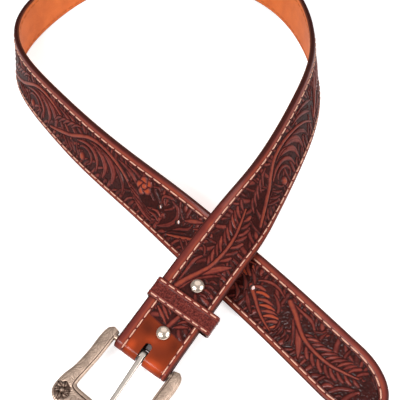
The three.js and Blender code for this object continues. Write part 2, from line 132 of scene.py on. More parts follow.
def lay_value(column, share, start_slope=0.0):
    rows = LAY[:, column]
    spans = len(rows) - 1
    slopes = np.empty(spans + 1)
    slopes[0] = start_slope
    slopes[1:-1] = (rows[2:] - rows[:-2]) / 2
    slopes[-1] = rows[-1] - rows[-2]
    place = np.clip(share, 0, 1) * spans
    row = np.minimum(place.astype(int), spans - 1)
    t = place - row
    return (rows[row] * (2 * t**3 - 3 * t**2 + 1) + slopes[row] * (t**3 - 2 * t**2 + t)
            + rows[row + 1] * (3 * t**2 - 2 * t**3) + slopes[row + 1] * (t**3 - t**2))


def lay_strap():
    """Points, and the along, across and out directions, at even steps of the strap's length."""
    free = STRAP_LENGTH - FLAT_END
    flat_rise = LAY[0, RISE] * FULL_RISE - FOLD_DROP
    start_slope = flat_rise / FLAT_END * free / (len(LAY) - 1) / FULL_RISE

    def height(s):
        share = (s - FLAT_END) / free
        rise = np.where(s < FLAT_END, FOLD_DROP + flat_rise * s / FLAT_END,
                        FULL_RISE * lay_value(RISE, share, start_slope))
        lean = np.radians(lay_value(LEAN, share))
        return rise + HALF_WIDTH * abs(np.cos(lean)) + FACE * abs(np.sin(lean))

    step = STRAP_LENGTH / PATH_STEPS
    s = np.arange(PATH_STEPS + 1) * step
    share = (s - FLAT_END) / free
    heading = np.radians(lay_value(HEADING, share))
    lean = np.radians(lay_value(LEAN, share))
    slope = (height(s + step / 2) - height(s - step / 2)) / step
    level = np.sqrt(1 - slope**2)
    along = np.stack([np.cos(heading) * level, np.sin(heading) * level, slope], 1)
    inward = np.stack([-np.sin(heading), np.cos(heading), 0 * heading], 1)
    across = np.cos(lean)[:, None] * np.array([0, 0, 1.0]) + np.sin(lean)[:, None] * inward
    across = unit(across - (across * along).sum(1)[:, None] * along)
    start = PATH_SHIFT + np.array([0, 0, height(np.array([0.0]))[0]])
    point = start + np.concatenate([np.zeros((1, 3)), np.cumsum(along[:-1] * step, 0)])
    return point, along, across, np.cross(along, across)


PATH = lay_strap()
FLAT_START, FLAT_ALONG, FLAT_ACROSS, FLAT_OUT = (a[0] for a in PATH)


def strap_frame(s):
    """Point, along, across and out at places along the strap, straight on before its start."""
    s = np.atleast_1d(np.asarray(s, float))
    place = np.clip(s / STRAP_LENGTH, 0, 1) * PATH_STEPS
    row = np.minimum(place.astype(int), PATH_STEPS - 1)
    t = (place - row)[:, None]
    point, along, across, out = (a[row] * (1 - t) + a[row + 1] * t for a in PATH)
    point = point + FLAT_ALONG * np.minimum(s, 0)[:, None]
    return point, unit(along), unit(across), unit(out)


def beside(s, v, n):
    """Points beside the strap: along it, across it and out of its face."""
    s, v, n = (np.asarray(a, float).ravel() for a in np.broadcast_arrays(s, v, n))
    point, _, across, out = strap_frame(s)
    return point + across * v[:, None] + out * n[:, None]


def half_width(s):
    into = np.clip((np.asarray(s, float) - STRAIGHT) / TIP_ROUND, 0, 1)
    return HALF_WIDTH * np.sqrt(1 - into**2)


def outline_points():
    """The strap's outline seen flat, from its upper edge round the tip to its lower edge."""
    angle = np.linspace(math.pi / 2, -math.pi / 2, 181)
    tip = np.stack([STRAIGHT + TIP_ROUND * np.cos(angle), HALF_WIDTH * np.sin(angle)], 1)
    before = -20.0
    return np.concatenate([[[before, HALF_WIDTH]], tip, [[before, -HALF_WIDTH]]])


OUTLINE = outline_points()


def distance_to_line(points, line):
    """Distance from points to a polyline, and the share of its length where that is."""
    a, b = line[:-1], line[1:]
    ab = b - a
    lengths = np.linalg.norm(ab, axis=1)
    starts = np.concatenate([[0], np.cumsum(lengths)[:-1]])
    best = np.full(len(points), np.inf)
    share = np.zeros(len(points))
    for i in range(len(ab)):
        t = np.clip((points - a[i]) @ ab[i] / max(lengths[i] ** 2, 1e-12), 0, 1)
        d = np.linalg.norm(points - a[i] - t[:, None] * ab[i], axis=1)
        near = d < best
        best[near] = d[near]
        share[near] = ((starts[i] + t * lengths[i]) / lengths.sum())[near]
    return best, share


def edge_distance(s, v):
    """How far places on the strap lie inside its outline."""
    d = HALF_WIDTH - np.abs(v)
    tip = s > STRAIGHT - 12
    if tip.any():
        points = np.stack([s[tip], v[tip]], 1)
        d[tip] = distance_to_line(points, OUTLINE)[0]
    return d


def upper_inset(s):
    return INSET_UPPER + (INSET_UPPER_AT_BUCKLE - INSET_UPPER) * (1 - smooth(s, 85, 145))


def stitch_inset(s, v):
    """The stitch line's distance from the edge, which changes over smoothly round the tip."""
    side = smooth(v, -9, 9)
    return INSET_LOWER * (1 - side) + upper_inset(s) * side


def curve(points, count):
    """A smooth line through a few chosen points."""
    p = np.array(points, float)
    p = np.concatenate([p[:1], p, p[-1:]])
    spans = len(p) - 3
    u = np.linspace(0, spans, count)
    i = np.minimum(u.astype(int), spans - 1)
    t = (u - i)[:, None]
    a, b, c, d = p[i], p[i + 1], p[i + 2], p[i + 3]
    return 0.5 * (2 * b + (c - a) * t + (2 * a - 5 * b + 4 * c - d) * t**2
                  + (3 * b - 3 * c + d - a) * t**3)


class Carving:
    """The tooled field as a height and a tone over a grid of places on the strap."""

    def __init__(self, s, v):
        self.s = s
        self.v = v
        self.height = np.full(s.shape, -GROUND_DEPTH)
        self.tone = np.full(s.shape, GROUND_TONE)

    def raise_line(self, points, widths, height=0.45, tone=0.85, base=-0.3, crease=0.0, count=22):
        """A rounded ridge along a curve, with the groove that is cut round it."""
        line = curve(points, count)
        steps = np.linspace(0, 1, count)
        spread = np.interp(steps, np.linspace(0, 1, len(widths)), widths)
        margin = spread.max() + GROOVE_WIDTH
        low = line.min(0) - margin
        high = line.max(0) + margin
        rows = np.where((self.s[:, 0] >= low[0]) & (self.s[:, 0] <= high[0]))[0]
        part = slice(rows[0], rows[-1] + 1) if len(rows) else slice(0)
        inside = (self.v[part] >= low[1]) & (self.v[part] <= high[1])
        if not inside.any():
            return
        places = np.stack([self.s[part][inside], self.v[part][inside]], 1)
        distance, share = distance_to_line(places, line)
        reach = np.interp(share, steps, spread)
        x = distance / np.maximum(reach, 1e-3)
        dome = 0.7 * (1 - smooth(x, 0.3, 1.0)) + 0.3 * np.clip(1 - x**2, 0, 1)
        level = base + height * dome - crease * bell(distance, 0.45)
        # The ridge's colour darkens down its sides as painted shade, which leaves its crest
        # lighter as a painted highlight; it is also darker along its crease.
        shade = tone * (0.3 + 0.7 * dome) - 2.5 * crease * bell(distance, 0.5)
        cut = (x >= 1) & (distance < reach + GROOVE_WIDTH)
        fade = 1 - smooth(distance - reach, 0.1, GROOVE_WIDTH)
        for grid, ridge, groove in [(self.height, level, -GROUND_DEPTH - GROOVE_DEPTH),
                                    (self.tone, shade, GROOVE_TONE)]:
            old = grid[part][inside]
            old = np.where(cut, old * (1 - fade) + groove * fade, old)
            grid[part][inside] = np.where(x < 1, ridge, old)


def fill_field(carving):
    """Low leaves that sweep in from both sides and fill the ground between the motifs."""
    for i, s in enumerate(np.arange(TOOLING_START - 1, STRAP_LENGTH - 10, 2.3)):
        side = 1 if i % 2 else -1
        edge = FIELD_UPPER if side > 0 else FIELD_LOWER
        reach = side * (7.5 + 4.5 * math.sin(1.7 * i))
        run = 7 + 6 * math.sin(0.83 * i + 1.3 * math.sin(0.31 * i))
        hook = 2.5 * math.sin(2.1 * i)
        line = [(s, edge + side), (s + 0.3 * run, edge - 0.5 * reach), (s + run, edge - reach),
                (s + run + hook, edge - reach + side * abs(hook))]
        width = 1.25 + 0.4 * math.sin(1.1 * i)
        carving.raise_line(np.array(line), [width, 1.1 * width, 0.9 * width, 0.3], height=0.3,
                           tone=0.5 + 0.2 * math.sin(2.3 * i), count=14)


class Motif:
    """Places a motif that is drawn in its own small frame on the strap."""

    def __init__(self, carving, start, flip=1, stretch=1.0):
        self.carving = carving
        self.start = start
        self.flip = flip
        self.stretch = stretch

    def line(self, points, widths, tone=0.85, **looks):
        p = np.array(points, float)
        p = np.stack([self.start + p[:, 0] * self.stretch, p[:, 1] * self.flip], 1)
        self.carving.raise_line(p, widths, tone=tone, **looks)

    def row(self, number, points, steps, widths, tone, change=0.0, **looks):
        """A row of like lines: each point moves on by its own step, and every other line's
        tone may change."""
        for i in range(number):
            line = np.array(points) + i * np.array(steps)
            self.line(line, widths, tone + change * (i % 2), **looks)

    def barbs(self, midrib, side, first, last, number, length, width=1.15, lean=52, tone=0.72):
        """A row of barbs that leave a midrib on one side and sweep forward to round ends."""
        line = curve(midrib, 60)
        for i in range(number):
            share = i / max(number - 1, 1)
            place = first + (last - first) * share
            index = min(int(place * 59), 58)
            root = line[index]
            forward = unit(line[index + 1] - line[index])
            sideways = np.array([-forward[1], forward[0]]) * side
            reach = length * (0.62 + 0.38 * math.sin(math.pi * (0.15 + 0.8 * share)))
            a = math.radians(lean)
            b = math.radians(lean - 26)
            first_half = forward * math.cos(a) + sideways * math.sin(a)
            second_half = forward * math.cos(b) + sideways * math.sin(b)
            middle = root + first_half * reach * 0.55
            end = middle + second_half * reach * 0.45
            widths = [0.45, width * 0.8, width, width * 0.75]
            self.line([root + sideways * 0.7, middle, end], widths, tone * (0.85 + 0.3 * (i % 2)),
                      count=9)


def long_leaf(m):
    """A long leaf: a midrib from one side of the field, feathered barbs and a smooth calyx."""
    midrib = [(1, 9.2), (8, 6.2), (15, 2.2), (23, -1.4), (33, -2.8), (44, -2.4), (54, 0),
              (64, 3.4)]
    m.line([(3, 9.8), (12, 9.6), (20, 9.2), (26, 5.6)], [0.5, 1.0, 1.3, 0.6], 0.7)
    m.line([(25, 6.0), (29, 8.6), (30, 11)], [0.4, 1.0, 0.5], 0.5)
    m.barbs(midrib, 1, 0.4, 0.97, 11, 11.4, width=1.3, lean=54)
    m.barbs(midrib, -1, 0.44, 0.95, 9, 9.6, width=1.3, lean=52, tone=0.68)
    m.line([(9, 3.2), (14, -1.6), (18, -6.2), (20, -10)], [0.4, 1.1, 1.2, 0.4], 0.55)
    m.line([(12, 4.4), (20, -3.4), (25, -8.4), (28.6, -12.6)], [0.6, 1.7, 2.3, 1.9, 0.3],
           1.0, crease=0.12)
    m.line(midrib, [1.9, 1.7, 1.35, 1.2, 1.1, 0.95, 0.6], height=0.62, tone=0.98, count=40)
    m.row(4, [(4, -3.5), (5.4, -7.6), (5, -10.8)], [(3.2, -1.1), (3.2, 0), (3.4, 0)],
          [0.5, 1.0, 0.6], 0.42, count=8)


def scroll_wave(m):
    """A stem that swings over a scroll's eye, with the long lobes that stream from it."""
    stem = [(0, -11.6), (14, -6.6), (26, -1.6), (35, 3.8), (44, 8.2), (54, 9.8), (66, 8.6),
            (80, 4.6), (92, -1.6), (100, -8)]
    m.line([(70, 5.2), (80, 0.6), (86, -5), (88, -11)], [0.6, 1.5, 1.6, 0.5], 0.62, crease=0.1)
    m.line([(76, 9.6), (86, 8.2), (95, 4.4), (104, -1.6)], [0.5, 1.4, 1.5, 0.4], 0.6)
    m.line([(84, 11), (95, 9.6), (106, 5.6), (114, 1.4)], [0.4, 1.3, 1.3, 0.4], 0.55)
    m.line([(58, 6.6), (68, 3.6), (75, -2.4), (76, -9.6)], [0.8, 2.2, 2.8, 1.3], 0.75, crease=0.14)
    m.line([(50, 5.6), (60, 2.6), (66.4, -3.6), (66.6, -11)], [0.5, 1.8, 2.3, 0.9], crease=0.12)
    m.line([(33, -0.8), (42, 2.2), (51, 1.4), (57.6, -4), (59, -11)],
           [0.5, 1.2, 1.5, 1.6, 0.6], 0.75)
    m.line([(36, -5.4), (39.6, -1.8), (45.6, -1.2), (50.6, -4), (52, -8.6), (49, -12)],
           [0.5, 1.0, 1.2, 1.2, 1.0, 0.4], 0.6)
    m.line([(41.6, -9.2), (42, -9.8)], [3.0, 3.0], height=0.75, tone=1.1, count=6)
    m.line([(37.2, -11.6), (34.6, -7.8), (36.6, -4.6)], [0.5, 0.9, 0.4], 0.6, count=10)
    m.row(5, [(4, -2.4), (8, 2.6), (13.5, 4.8)], [(5, 1.6), (5, 1.5), (5, 1.4)],
          [0.5, 1.2, 1.1, 0.5], 0.62, count=9)
    m.row(4, [(17, -7.6), (21.4, -10.2), (26, -12.4)], [(5.2, 1.4), (4.6, 0.7), (4, 0.6)],
          [0.5, 1.1, 0.8], 0.5, count=8)
    m.line([(46, 5.6), (54, 6.6), (60, 4.4)], [0.4, 0.9, 0.4], 0.7, count=10)
    m.line(stem, [1.0, 1.5, 1.6, 1.5, 1.35, 1.2, 1.0, 0.6], height=0.62, tone=0.95, count=48)


def flower_spray(m):
    """A small round flower, a curled tendril and the leaves that fill the field round them."""
    m.row(4, [(-2, 0.4), (6, -1.8), (14, -6), (23, -7.4)],
          [(3.4, -2.7), (3, -2.7), (2.6, -1.9), (1.6, -1.6)], [0.4, 1.3, 1.1, 0.4], 0.55,
          change=0.12, count=16)
    m.line([(33, 1), (37.6, 6.4), (33.6, 10.8), (27.4, 8.4), (28.4, 3.4)],
           [0.6, 1.3, 1.3, 1.1, 0.4], 0.55, count=24)
    m.line([(34.5, 9.4), (41, 7.2), (43.8, 1.2), (41, -5.6), (34, -11.4)],
           [0.6, 1.5, 1.7, 1.6, 0.5], 0.7, crease=0.1, count=24)
    m.line([(24, -4.4), (28.6, -3.2), (32.6, -5)], [0.4, 1.2, 0.5], 0.85, count=9)
    m.line([(23, -7.6), (28, -6.8), (32.4, -8.6)], [0.4, 1.2, 0.5], 0.75, count=9)
    m.line([(44, -11.4), (52, -7.6), (61, -2.6), (69, 3)], [0.6, 1.1, 1.1, 0.5], 1.05, height=0.55)
    m.line([(46, -6), (50, -2.4), (55, 1.4), (55.6, 6.4)], [0.4, 1.2, 1.2, 0.4], 0.6, count=12)
    m.row(4, [(54, -7.6), (57.4, -9.6), (61, -11.6)], [(4, 2.2), (4, 1.7), (4, 1.2)],
          [0.4, 1.0, 0.6], 0.55, count=8)
    m.line([(50, 4.6), (55, 7.8), (61, 11.2)], [0.9, 1.7, 0.5], 0.95, crease=0.1, count=12)
    m.line([(58, 3.6), (63, 6.6), (69, 9.4)], [0.5, 1.3, 0.4], 0.75, count=10)
    petals = 5
    middle = (10.5, 5.4)
    for i in range(petals):
        angle = 2 * math.pi * (i + 0.5) / petals
        x, y = math.cos(angle), math.sin(angle)
        m.line([(middle[0] + 2.5 * x, middle[1] + 2.5 * y),
                (middle[0] + 3.9 * x - 0.9 * y, middle[1] + 3.9 * y + 0.9 * x)],
               [2.5, 3.0], 1.25, height=0.5, crease=0.05, count=6)
    m.line([middle, (middle[0] + 0.3, middle[1])], [2.3, 2.3], height=0.8, tone=1.4, count=6)
    m.line([(17.5, 9.6), (21, 11), (24, 9.6)], [0.5, 1.1, 0.4], 0.5, count=8)


def short_leaf(m):
    """A broad short leaf with a row of close barbs on one side of its midrib."""
    midrib = [(-4, 0.6), (3, -3.4), (10, -7.6), (17, -10.6), (25, -12.6)]
    m.line([(-2, 6), (4, 9.6), (11, 10.8), (18, 9)], [0.4, 1.0, 1.0, 0.4], 0.75)
    m.line([(12, 6), (17, 4), (21, 0), (22, -6)], [0.4, 1.2, 1.2, 0.4], 0.55)
    m.line([(-10, 8.6), (-5, 5.4), (-1, 1.4)], [0.5, 1.4, 0.5], 0.5)
    m.line([(-12, 2.6), (-7, -1), (-4, -6)], [0.5, 1.5, 0.5], 0.55)
    m.line([(-13, -5), (-8, -8), (-6, -12)], [0.5, 1.4, 0.5], 0.7)
    m.barbs(midrib, 1, 0.06, 0.94, 8, 12.0, width=1.35, lean=66, tone=1.08)
    m.line([(-4, -4), (2, -8.8), (8, -12.4)], [0.5, 1.6, 0.5], 0.65, crease=0.1)
    m.line(midrib, [1.5, 1.3, 1.1, 0.8, 0.4], height=0.6, tone=1.0, count=24)


def stud_sprig(m):
    """A stem that leads from the first stud under the keeper, with barbs on its upper side."""
    m.row(4, [(2.6, 0.6), (5.4, 5.2), (8.4, 10.6)], [(3.2, 0.4), (3.2, 0), (3.2, -0.4)],
          [0.6, 1.35, 0.6], 0.85, height=0.5, count=12)
    m.line([(0, -1.4), (7, -3), (14, -4.8), (22, -7.4)], [1.5, 1.5, 1.3, 0.8], 0.85, height=0.6)
    m.row(3, [(3, -5), (6, -8.4), (8, -12)], [(4, -1), (4, 0), (4, 0)], [0.5, 1.3, 0.5], 0.7,
          count=10)


# What is carved where: the motif, its start along the strap, and where it isn't plain, the
# side that it is turned to and its stretch
MOTIFS = [
    (stud_sprig, 26), (long_leaf, 50, 1, 1.07), (scroll_wave, 117), (long_leaf, 224, -1, 1.05),
    (flower_spray, 290, -1), (scroll_wave, 356, -1), (long_leaf, 462, 1, 1.05),
    (flower_spray, 530), (scroll_wave, 598, -1), (scroll_wave, 700), (scroll_wave, 770),
    (flower_spray, 862), (short_leaf, 944, -1), (short_leaf, 979), (long_leaf, 1001, 1, 0.97),
]


def speckle(s, v, size, seed):
    """A smooth repeatable scatter between -1 and 1 over the strap, with grains of one size."""
    def corner(i, j):
        n = (i * 73856093) ^ (j * 19349663) ^ (seed * 83492791)
        n = (n ^ (n >> 13)) * 1274126177
        return ((n ^ (n >> 16)) & 0xFFFF) / 0x7FFF - 1
    x, y = s / size, v / size
    i, j = np.floor(x).astype(np.int64), np.floor(y).astype(np.int64)
    a, b = x - i, y - j
    a, b = a * a * (3 - 2 * a), b * b * (3 - 2 * b)
    return ((corner(i, j) * (1 - a) + corner(i + 1, j) * a) * (1 - b)
            + (corner(i, j + 1) * (1 - a) + corner(i + 1, j + 1) * a) * b)


# Painted highlights and painted shade on the plain leather by the fold: strength, place and size
PLAIN_PAINTED_LIGHT = [
    (0.5, 6, 10, 4, 3), (0.55, 4, -8, 3, 6), (0.2, 15, 2, 3, 5), (-0.25, 21, 8, 5, 5),
    (-0.25, 20, -12, 6, 4),
]


def spot(s, v, at_s, at_v, size_s, size_v):
    """1 at a place on the strap, fading out over an oval round it."""
    return np.exp(-(((s - at_s) / size_s) ** 2 + ((v - at_v) / size_v) ** 2))


def tooled_face(s, v):
    """Height, tone and plainness of the strap's face at a grid of places, and their distance
    from its edge."""
    carving = Carving(s, v)
    fill_field(carving)
    for motif, *place in MOTIFS:
        motif(Motif(carving, *place))
    height, tone = carving.height, carving.tone
    ground = 1 - smooth(tone, 0.06, 0.2)
    height = height + ground * 0.13 * speckle(s, v, 0.8, 3)
    mottle = 0.13 * speckle(s, v, 2.6, 7) + 0.1 * speckle(s, v, 1.1, 13)
    tone = tone + ground * 0.07 * speckle(s, v, 0.8, 3) + mottle * (1 - ground)
    d = edge_distance(s, v)
    inset = stitch_inset(s, v)
    into = s - TOOLING_START - TOOLING_SLANT * v
    inside = smooth(d - inset, 1.35, 1.8) * smooth(into, -0.3, 0.3)
    # A painted highlight: a lighter band on the border just outside the stitch line, darker again
    # towards the edge.
    painted_border_highlight = 0.4 * bell(inset - d - 1.5, 1.2)
    tone = tone * inside + (0.55 + 0.1 * speckle(s, v, 5.0, 11) + painted_border_highlight) * (1 - inside)
    stitches = np.abs(d - inset)
    frame_line = d - inset - FIELD_FROM_STITCHES
    height = height * inside - 0.3 * bell(stitches, 0.62) - 0.16 * bell(frame_line, 0.35)
    tone = tone - 0.3 * bell(stitches, 0.6) - 0.45 * bell(frame_line, 0.4)
    glow = 0.5 * smooth(carving.tone, 1.0, 1.2) * inside
    plain = (1 - smooth(into, -0.5, 0.5)) * (d > inset + 0.6)
    # The plain leather's tone: a random mottle plus the painted highlights and painted shade
    # listed above.
    shade = 0.5 + 0.1 * speckle(s, v, 6.0, 31)
    for strength, *place in PLAIN_PAINTED_LIGHT:
        shade = shade + strength * spot(s, v, *place)
    tone = np.where(plain > 0, shade, tone)
    return height, np.clip(tone, 0, 1.2), np.maximum(plain, glow), d


def linked(name, data):
    thing = bpy.data.objects.new(name, data)
    bpy.context.scene.collection.objects.link(thing)
    return thing


def mesh_object(name, vertices, faces):
    """An object in Blender's metres for a mesh in millimetres."""
    mesh = bpy.data.meshes.new(name)
    mesh.from_pydata((np.asarray(vertices) * MM).tolist(), [], faces)
    return linked(name, mesh)


def make_piece(name, vertices, faces, body, replaces, material, values=None, sharp=None,
               cutters=()):
    """A mesh object that rides on a CAD body. values are its point attributes."""
    piece = mesh_object(name, vertices, faces)
    mesh = piece.data
    for key, data in (values or {}).items():
        layer = mesh.attributes.new(key, "FLOAT", "POINT")
        layer.data.foreach_set("value", np.asarray(data, np.float32))
    mesh.validate()
    mesh.shade_smooth()
    mesh.materials.append(material)
    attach(piece, body)
    if replaces:
        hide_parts(*replaces)
    if cutters:
        cut_with(piece, cutters)
    if sharp is not None:
        piece.data.set_sharp_from_angle(angle=math.radians(sharp))


def ring_faces(rows, count, closed_rows=False, base=0):
    """Quads of a tube of rows of points, with a cap at each end unless the rows close."""
    faces = []
    for r in range(rows if closed_rows else rows - 1):
        a = base + r * count
        b = base + ((r + 1) % rows) * count
        faces += [(a + i, b + i, b + (i + 1) % count, a + (i + 1) % count) for i in range(count)]
    if not closed_rows:
        last = base + (rows - 1) * count
        faces.append(tuple(range(base, base + count)))
        faces.append(tuple(reversed(range(last, last + count))))
    return faces


def turned(faces):
    return [tuple(reversed(f)) for f in faces]


def swept(centre, across, out, v, n):
    """Points of a row of sections: v across and n out of each section's centre."""
    return (centre[:, None, :] + across[:, None, :] * v[..., None]
            + out[:, None, :] * n[..., None]).reshape(-1, 3)


def cut_with(piece, cutters):
    """Cuts closed cutters out of a piece."""
    for cutter in cutters:
        cut = piece.modifiers.new("cut", "BOOLEAN")
        cut.operation = "DIFFERENCE"
        cut.solver = "MANIFOLD"
        cut.object = cutter
    bpy.context.view_layer.update()
    graph = bpy.context.evaluated_depsgraph_get()
    mesh = bpy.data.meshes.new_from_object(piece.evaluated_get(graph), depsgraph=graph)
    piece.modifiers.clear()
    old = piece.data
    piece.data = mesh
    bpy.data.meshes.remove(old)
    for cutter in cutters:
        bpy.data.objects.remove(cutter)


def flat_point(along, across, level):
    """A point of the flat buckle end. It also reaches back past the fold."""
    places = np.broadcast_arrays(along, across, level)
    along, across, level = (np.asarray(x, float)[..., None] for x in places)
    return FLAT_START + FLAT_ALONG * along + FLAT_ACROSS * across + FLAT_OUT * level


def hole_cutters():
    """Round cutters for the adjustment holes, through the strap and the lining."""
    sides = 24
    reach = 6
    angle = ring_angles(sides)[:, None]
    cutters = []
    for i, s in enumerate(HOLE_PLACES):
        point, along, across, out = (a[0] for a in strap_frame(s))
        circle = (np.cos(angle) * along + np.sin(angle) * across) * HOLE_RADIUS
        ends = [point + circle + out * level for level in (reach, -reach)]
        cutters.append(mesh_object(f"punch_{i}", np.concatenate(ends), ring_faces(2, sides)))
    return cutters


def slot_cutters():
    """The slot that lets the prong through the fold. It reaches further in the upper layer."""
    angle = np.linspace(-math.pi / 2, math.pi / 2, 17)
    cutters = []
    for name, reach, top, bottom in [("slot_above", SLOT_REACH, 6, -3),
                                     ("slot_below", SLOT_REACH_BELOW, -2.5, -14)]:
        round_end = reach - SLOT_HALF_WIDTH + SLOT_HALF_WIDTH * np.cos(angle)
        along = np.concatenate([[-BAR_ALONG], round_end, [-BAR_ALONG]])
        across = SLOT_HALF_WIDTH * np.concatenate([[-1], np.sin(angle), [1]]) + BUCKLE_SHIFT
        levels = [flat_point(along, across, level) for level in (top, bottom)]
        cutters.append(mesh_object(name, np.concatenate(levels), ring_faces(2, len(along))))
    return cutters


def face_columns():
    """Columns of the strap's face, closer together at its rounded edges."""
    left = -HALF_WIDTH + np.array([0, 0.06, 0.22, 0.48, 0.85, 1.3, 1.9])
    middle = np.arange(-HALF_WIDTH + 2.3, HALF_WIDTH - 2.3 + CELL / 2, CELL)
    return np.concatenate([left, middle, -left[::-1]])


def edge_rounding(d):
    """How far the face falls away towards the strap's rounded edge."""
    x = np.clip(1 - d / EDGE_RADIUS, 0, 1)
    return EDGE_RADIUS * 0.8 * (1 - np.sqrt(1 - x**2 * 0.985))


def outer_places():
    """Places of the sections from the fold to the tip, a cell apart and closer at the tip."""
    body = np.linspace(BAR_ALONG, STRAIGHT, int((STRAIGHT - BAR_ALONG) / CELL) + 1)
    angle = np.concatenate([np.arange(0, 74, 0.85), np.linspace(74, 89.2, 22)])
    tip = STRAIGHT + TIP_ROUND * np.sin(np.radians(angle[1:]))
    return np.concatenate([body, tip])


def outer_rows(places):
    """Sections of the outer layer: centre, across, out, place and half width."""
    point, _, across, out = strap_frame(places)
    return point + out * (FACE - OUTER_THICKNESS / 2), across, out, places, half_width(places)


def fold_rows():
    """Sections of the end that turns round the bar and comes back under the strap."""
    fall = BAR_LEVEL - FOLD_RADIUS - TURN_BACK_MIDDLE
    run = LINING_START - BAR_ALONG
    profile = [(along, TURN_BACK_MIDDLE, math.pi)
               for along in np.linspace(TURN_BACK, LINING_START, 26)[:-1]]
    for t in np.linspace(0, 1, 25):
        profile.append((LINING_START - run * t, TURN_BACK_MIDDLE + fall * t * t * (3 - 2 * t),
                        math.pi + math.atan2(-fall * 6 * t * (1 - t), run)))
    for a in np.linspace(math.pi, 0, 33)[1:-1]:
        profile.append((BAR_ALONG - FOLD_RADIUS * math.sin(a),
                        BAR_LEVEL + FOLD_RADIUS * math.cos(a), a))
    along, level, angle = np.array(profile).T
    centre = flat_point(along, 0, level)
    out = np.outer(-np.sin(angle), FLAT_ALONG) + np.outer(np.cos(angle), FLAT_OUT)
    across = np.tile(FLAT_ACROSS, (len(along), 1))
    first_step = 0.4
    places = BAR_ALONG - distances_along(centre[::-1])[::-1] - first_step
    return centre, across, out, places, np.full(len(along), HALF_WIDTH)


def strap_section(rows, columns):
    """Vertices and attributes of a strip of the outer layer with its tooled face."""
    centre, across, out, places, widths = rows
    widths = widths[:, None]
    v = widths * (columns / HALF_WIDTH)
    s = np.repeat(places[:, None], len(columns), 1)
    height, tone, plain, d = tooled_face(s, v)
    half = OUTER_THICKNESS / 2
    n = half + height - edge_rounding(d)
    # The leather is pinched round the end of the slot and swells beside it
    n = n - 0.5 * spot(s, v, SLOT_REACH + 0.5, 0, 3.2, 3.4)
    n = n + 0.25 * spot(s, np.abs(v), 8, 8, 5, 5)
    # The side of the strip: how far it stands past the edge of the face, and level
    side = [(0.1, 0.15), (0.13, -0.35), (0.1, -0.85), (-0.15, -half)]
    around = [(widths + o, level) for o, level in side]
    around += [(widths * x, -half) for x in (0.6, 0, -0.6)]
    around += [(-widths - o, level) for o, level in side[::-1]]
    all_v = np.concatenate([v] + [w for w, _ in around], 1)
    all_n = np.concatenate([n] + [np.full(widths.shape, level) for _, level in around], 1)

    def padded(a, value):
        rest = np.full((len(widths), len(around)), value)
        return np.concatenate([a, rest], 1).ravel()

    values = {"tone": padded(tone, 0.2), "plain": padded(plain, 0.0),
              "edge": padded(1 - smooth(d, 0.4, 2.0), 1.0)}
    return swept(centre, across, out, all_v, all_n), values, all_v.shape[1]


# The strips of the outer layer, and where each ends along the strap
STRIPS = [("strap_buckle_end", 240), ("strap_right_side", 470), ("strap_far_side", 660),
          ("strap_left_side", 875), ("strap_tip_end", STRAP_LENGTH)]


def strap_pieces(material):
    """The outer layer in five strips, so that each stays light. They share their end sections."""
    columns = face_columns()
    places = outer_places()
    ends = np.searchsorted(places, [end for _, end in STRIPS[:-1]])
    breaks = [0, *ends, len(places) - 1]
    for i, (name, _) in enumerate(STRIPS):
        rows = outer_rows(places[breaks[i]:breaks[i + 1] + 1])
        cutters = []
        if i == 0:
            rows = [np.concatenate([a, b]) for a, b in zip(fold_rows(), rows)]
            cutters = slot_cutters()
        if i == len(STRIPS) - 1:
            cutters = hole_cutters()
        vertices, values, count = strap_section(rows, columns)
        make_piece(name, vertices, ring_faces(len(rows[0]), count), "strap",
                   ["strap_outer"], material, values, 78, cutters)


def lining_piece(material):
    """The lining, with its own rounded edge, from under the fold to the tip."""
    tip = STRAIGHT + TIP_ROUND * np.sin(np.radians(np.linspace(0, 89.2, 40)))
    places = np.concatenate([np.arange(LINING_START, STRAIGHT, 2.5), tip])
    point, _, across, out = strap_frame(places)
    top, bottom = SEAM_LEVEL - 0.04, -FACE
    # Half of the section: distance from the edge, and level. The groove is the stitches' own.
    d = np.array([0.35, 0.0, 0.0, 0.12, 0.5, 1.0, 2.2, 2.8, 3.1, 3.4, 4.0, 6.0, 10.0, 14.5])
    n = np.array([top, top - 0.12, bottom + 0.75, bottom + 0.35, bottom + 0.1, bottom, bottom,
                  bottom + 0.12, bottom + 0.22, bottom + 0.12, bottom, bottom, bottom, bottom])
    v = np.concatenate([HALF_WIDTH - d, -(HALF_WIDTH - d)[::-1]]) / HALF_WIDTH
    n = np.concatenate([n, n[::-1]])
    rub = 1 - smooth(np.concatenate([d, d[::-1]]), 0.3, 1.2)
    vertices = swept(point, across, out, half_width(places)[:, None] * v, n[None, :])
    make_piece("strap_lining_leather", vertices, ring_faces(len(places), len(v)), "strap",
               ["strap_lining"], material, {"edge": np.tile(rub, len(places))},
               50, hole_cutters())


def stitch_line():
    """The stitch line seen flat: the upper row, round the tip, and back along the lower row."""
    step = 1.5
    points = [(s, HALF_WIDTH - upper_inset(s)) for s in np.arange(1.0, STRAIGHT, step)]
    for angle in np.linspace(90, -90, 81):
        a = math.radians(angle)
        edge = np.array([STRAIGHT + TIP_ROUND * math.cos(a), HALF_WIDTH * math.sin(a)])
        normal = unit(np.array([math.cos(a) / TIP_ROUND, math.sin(a) / HALF_WIDTH]))
        share = smooth(angle, -50, 50)
        points.append(tuple(edge - normal * (INSET_LOWER * (1 - share) + INSET_UPPER * share)))
    points += [(s, -HALF_WIDTH + INSET_LOWER) for s in np.arange(STRAIGHT, 1.0, -step)]
    return np.array(points)


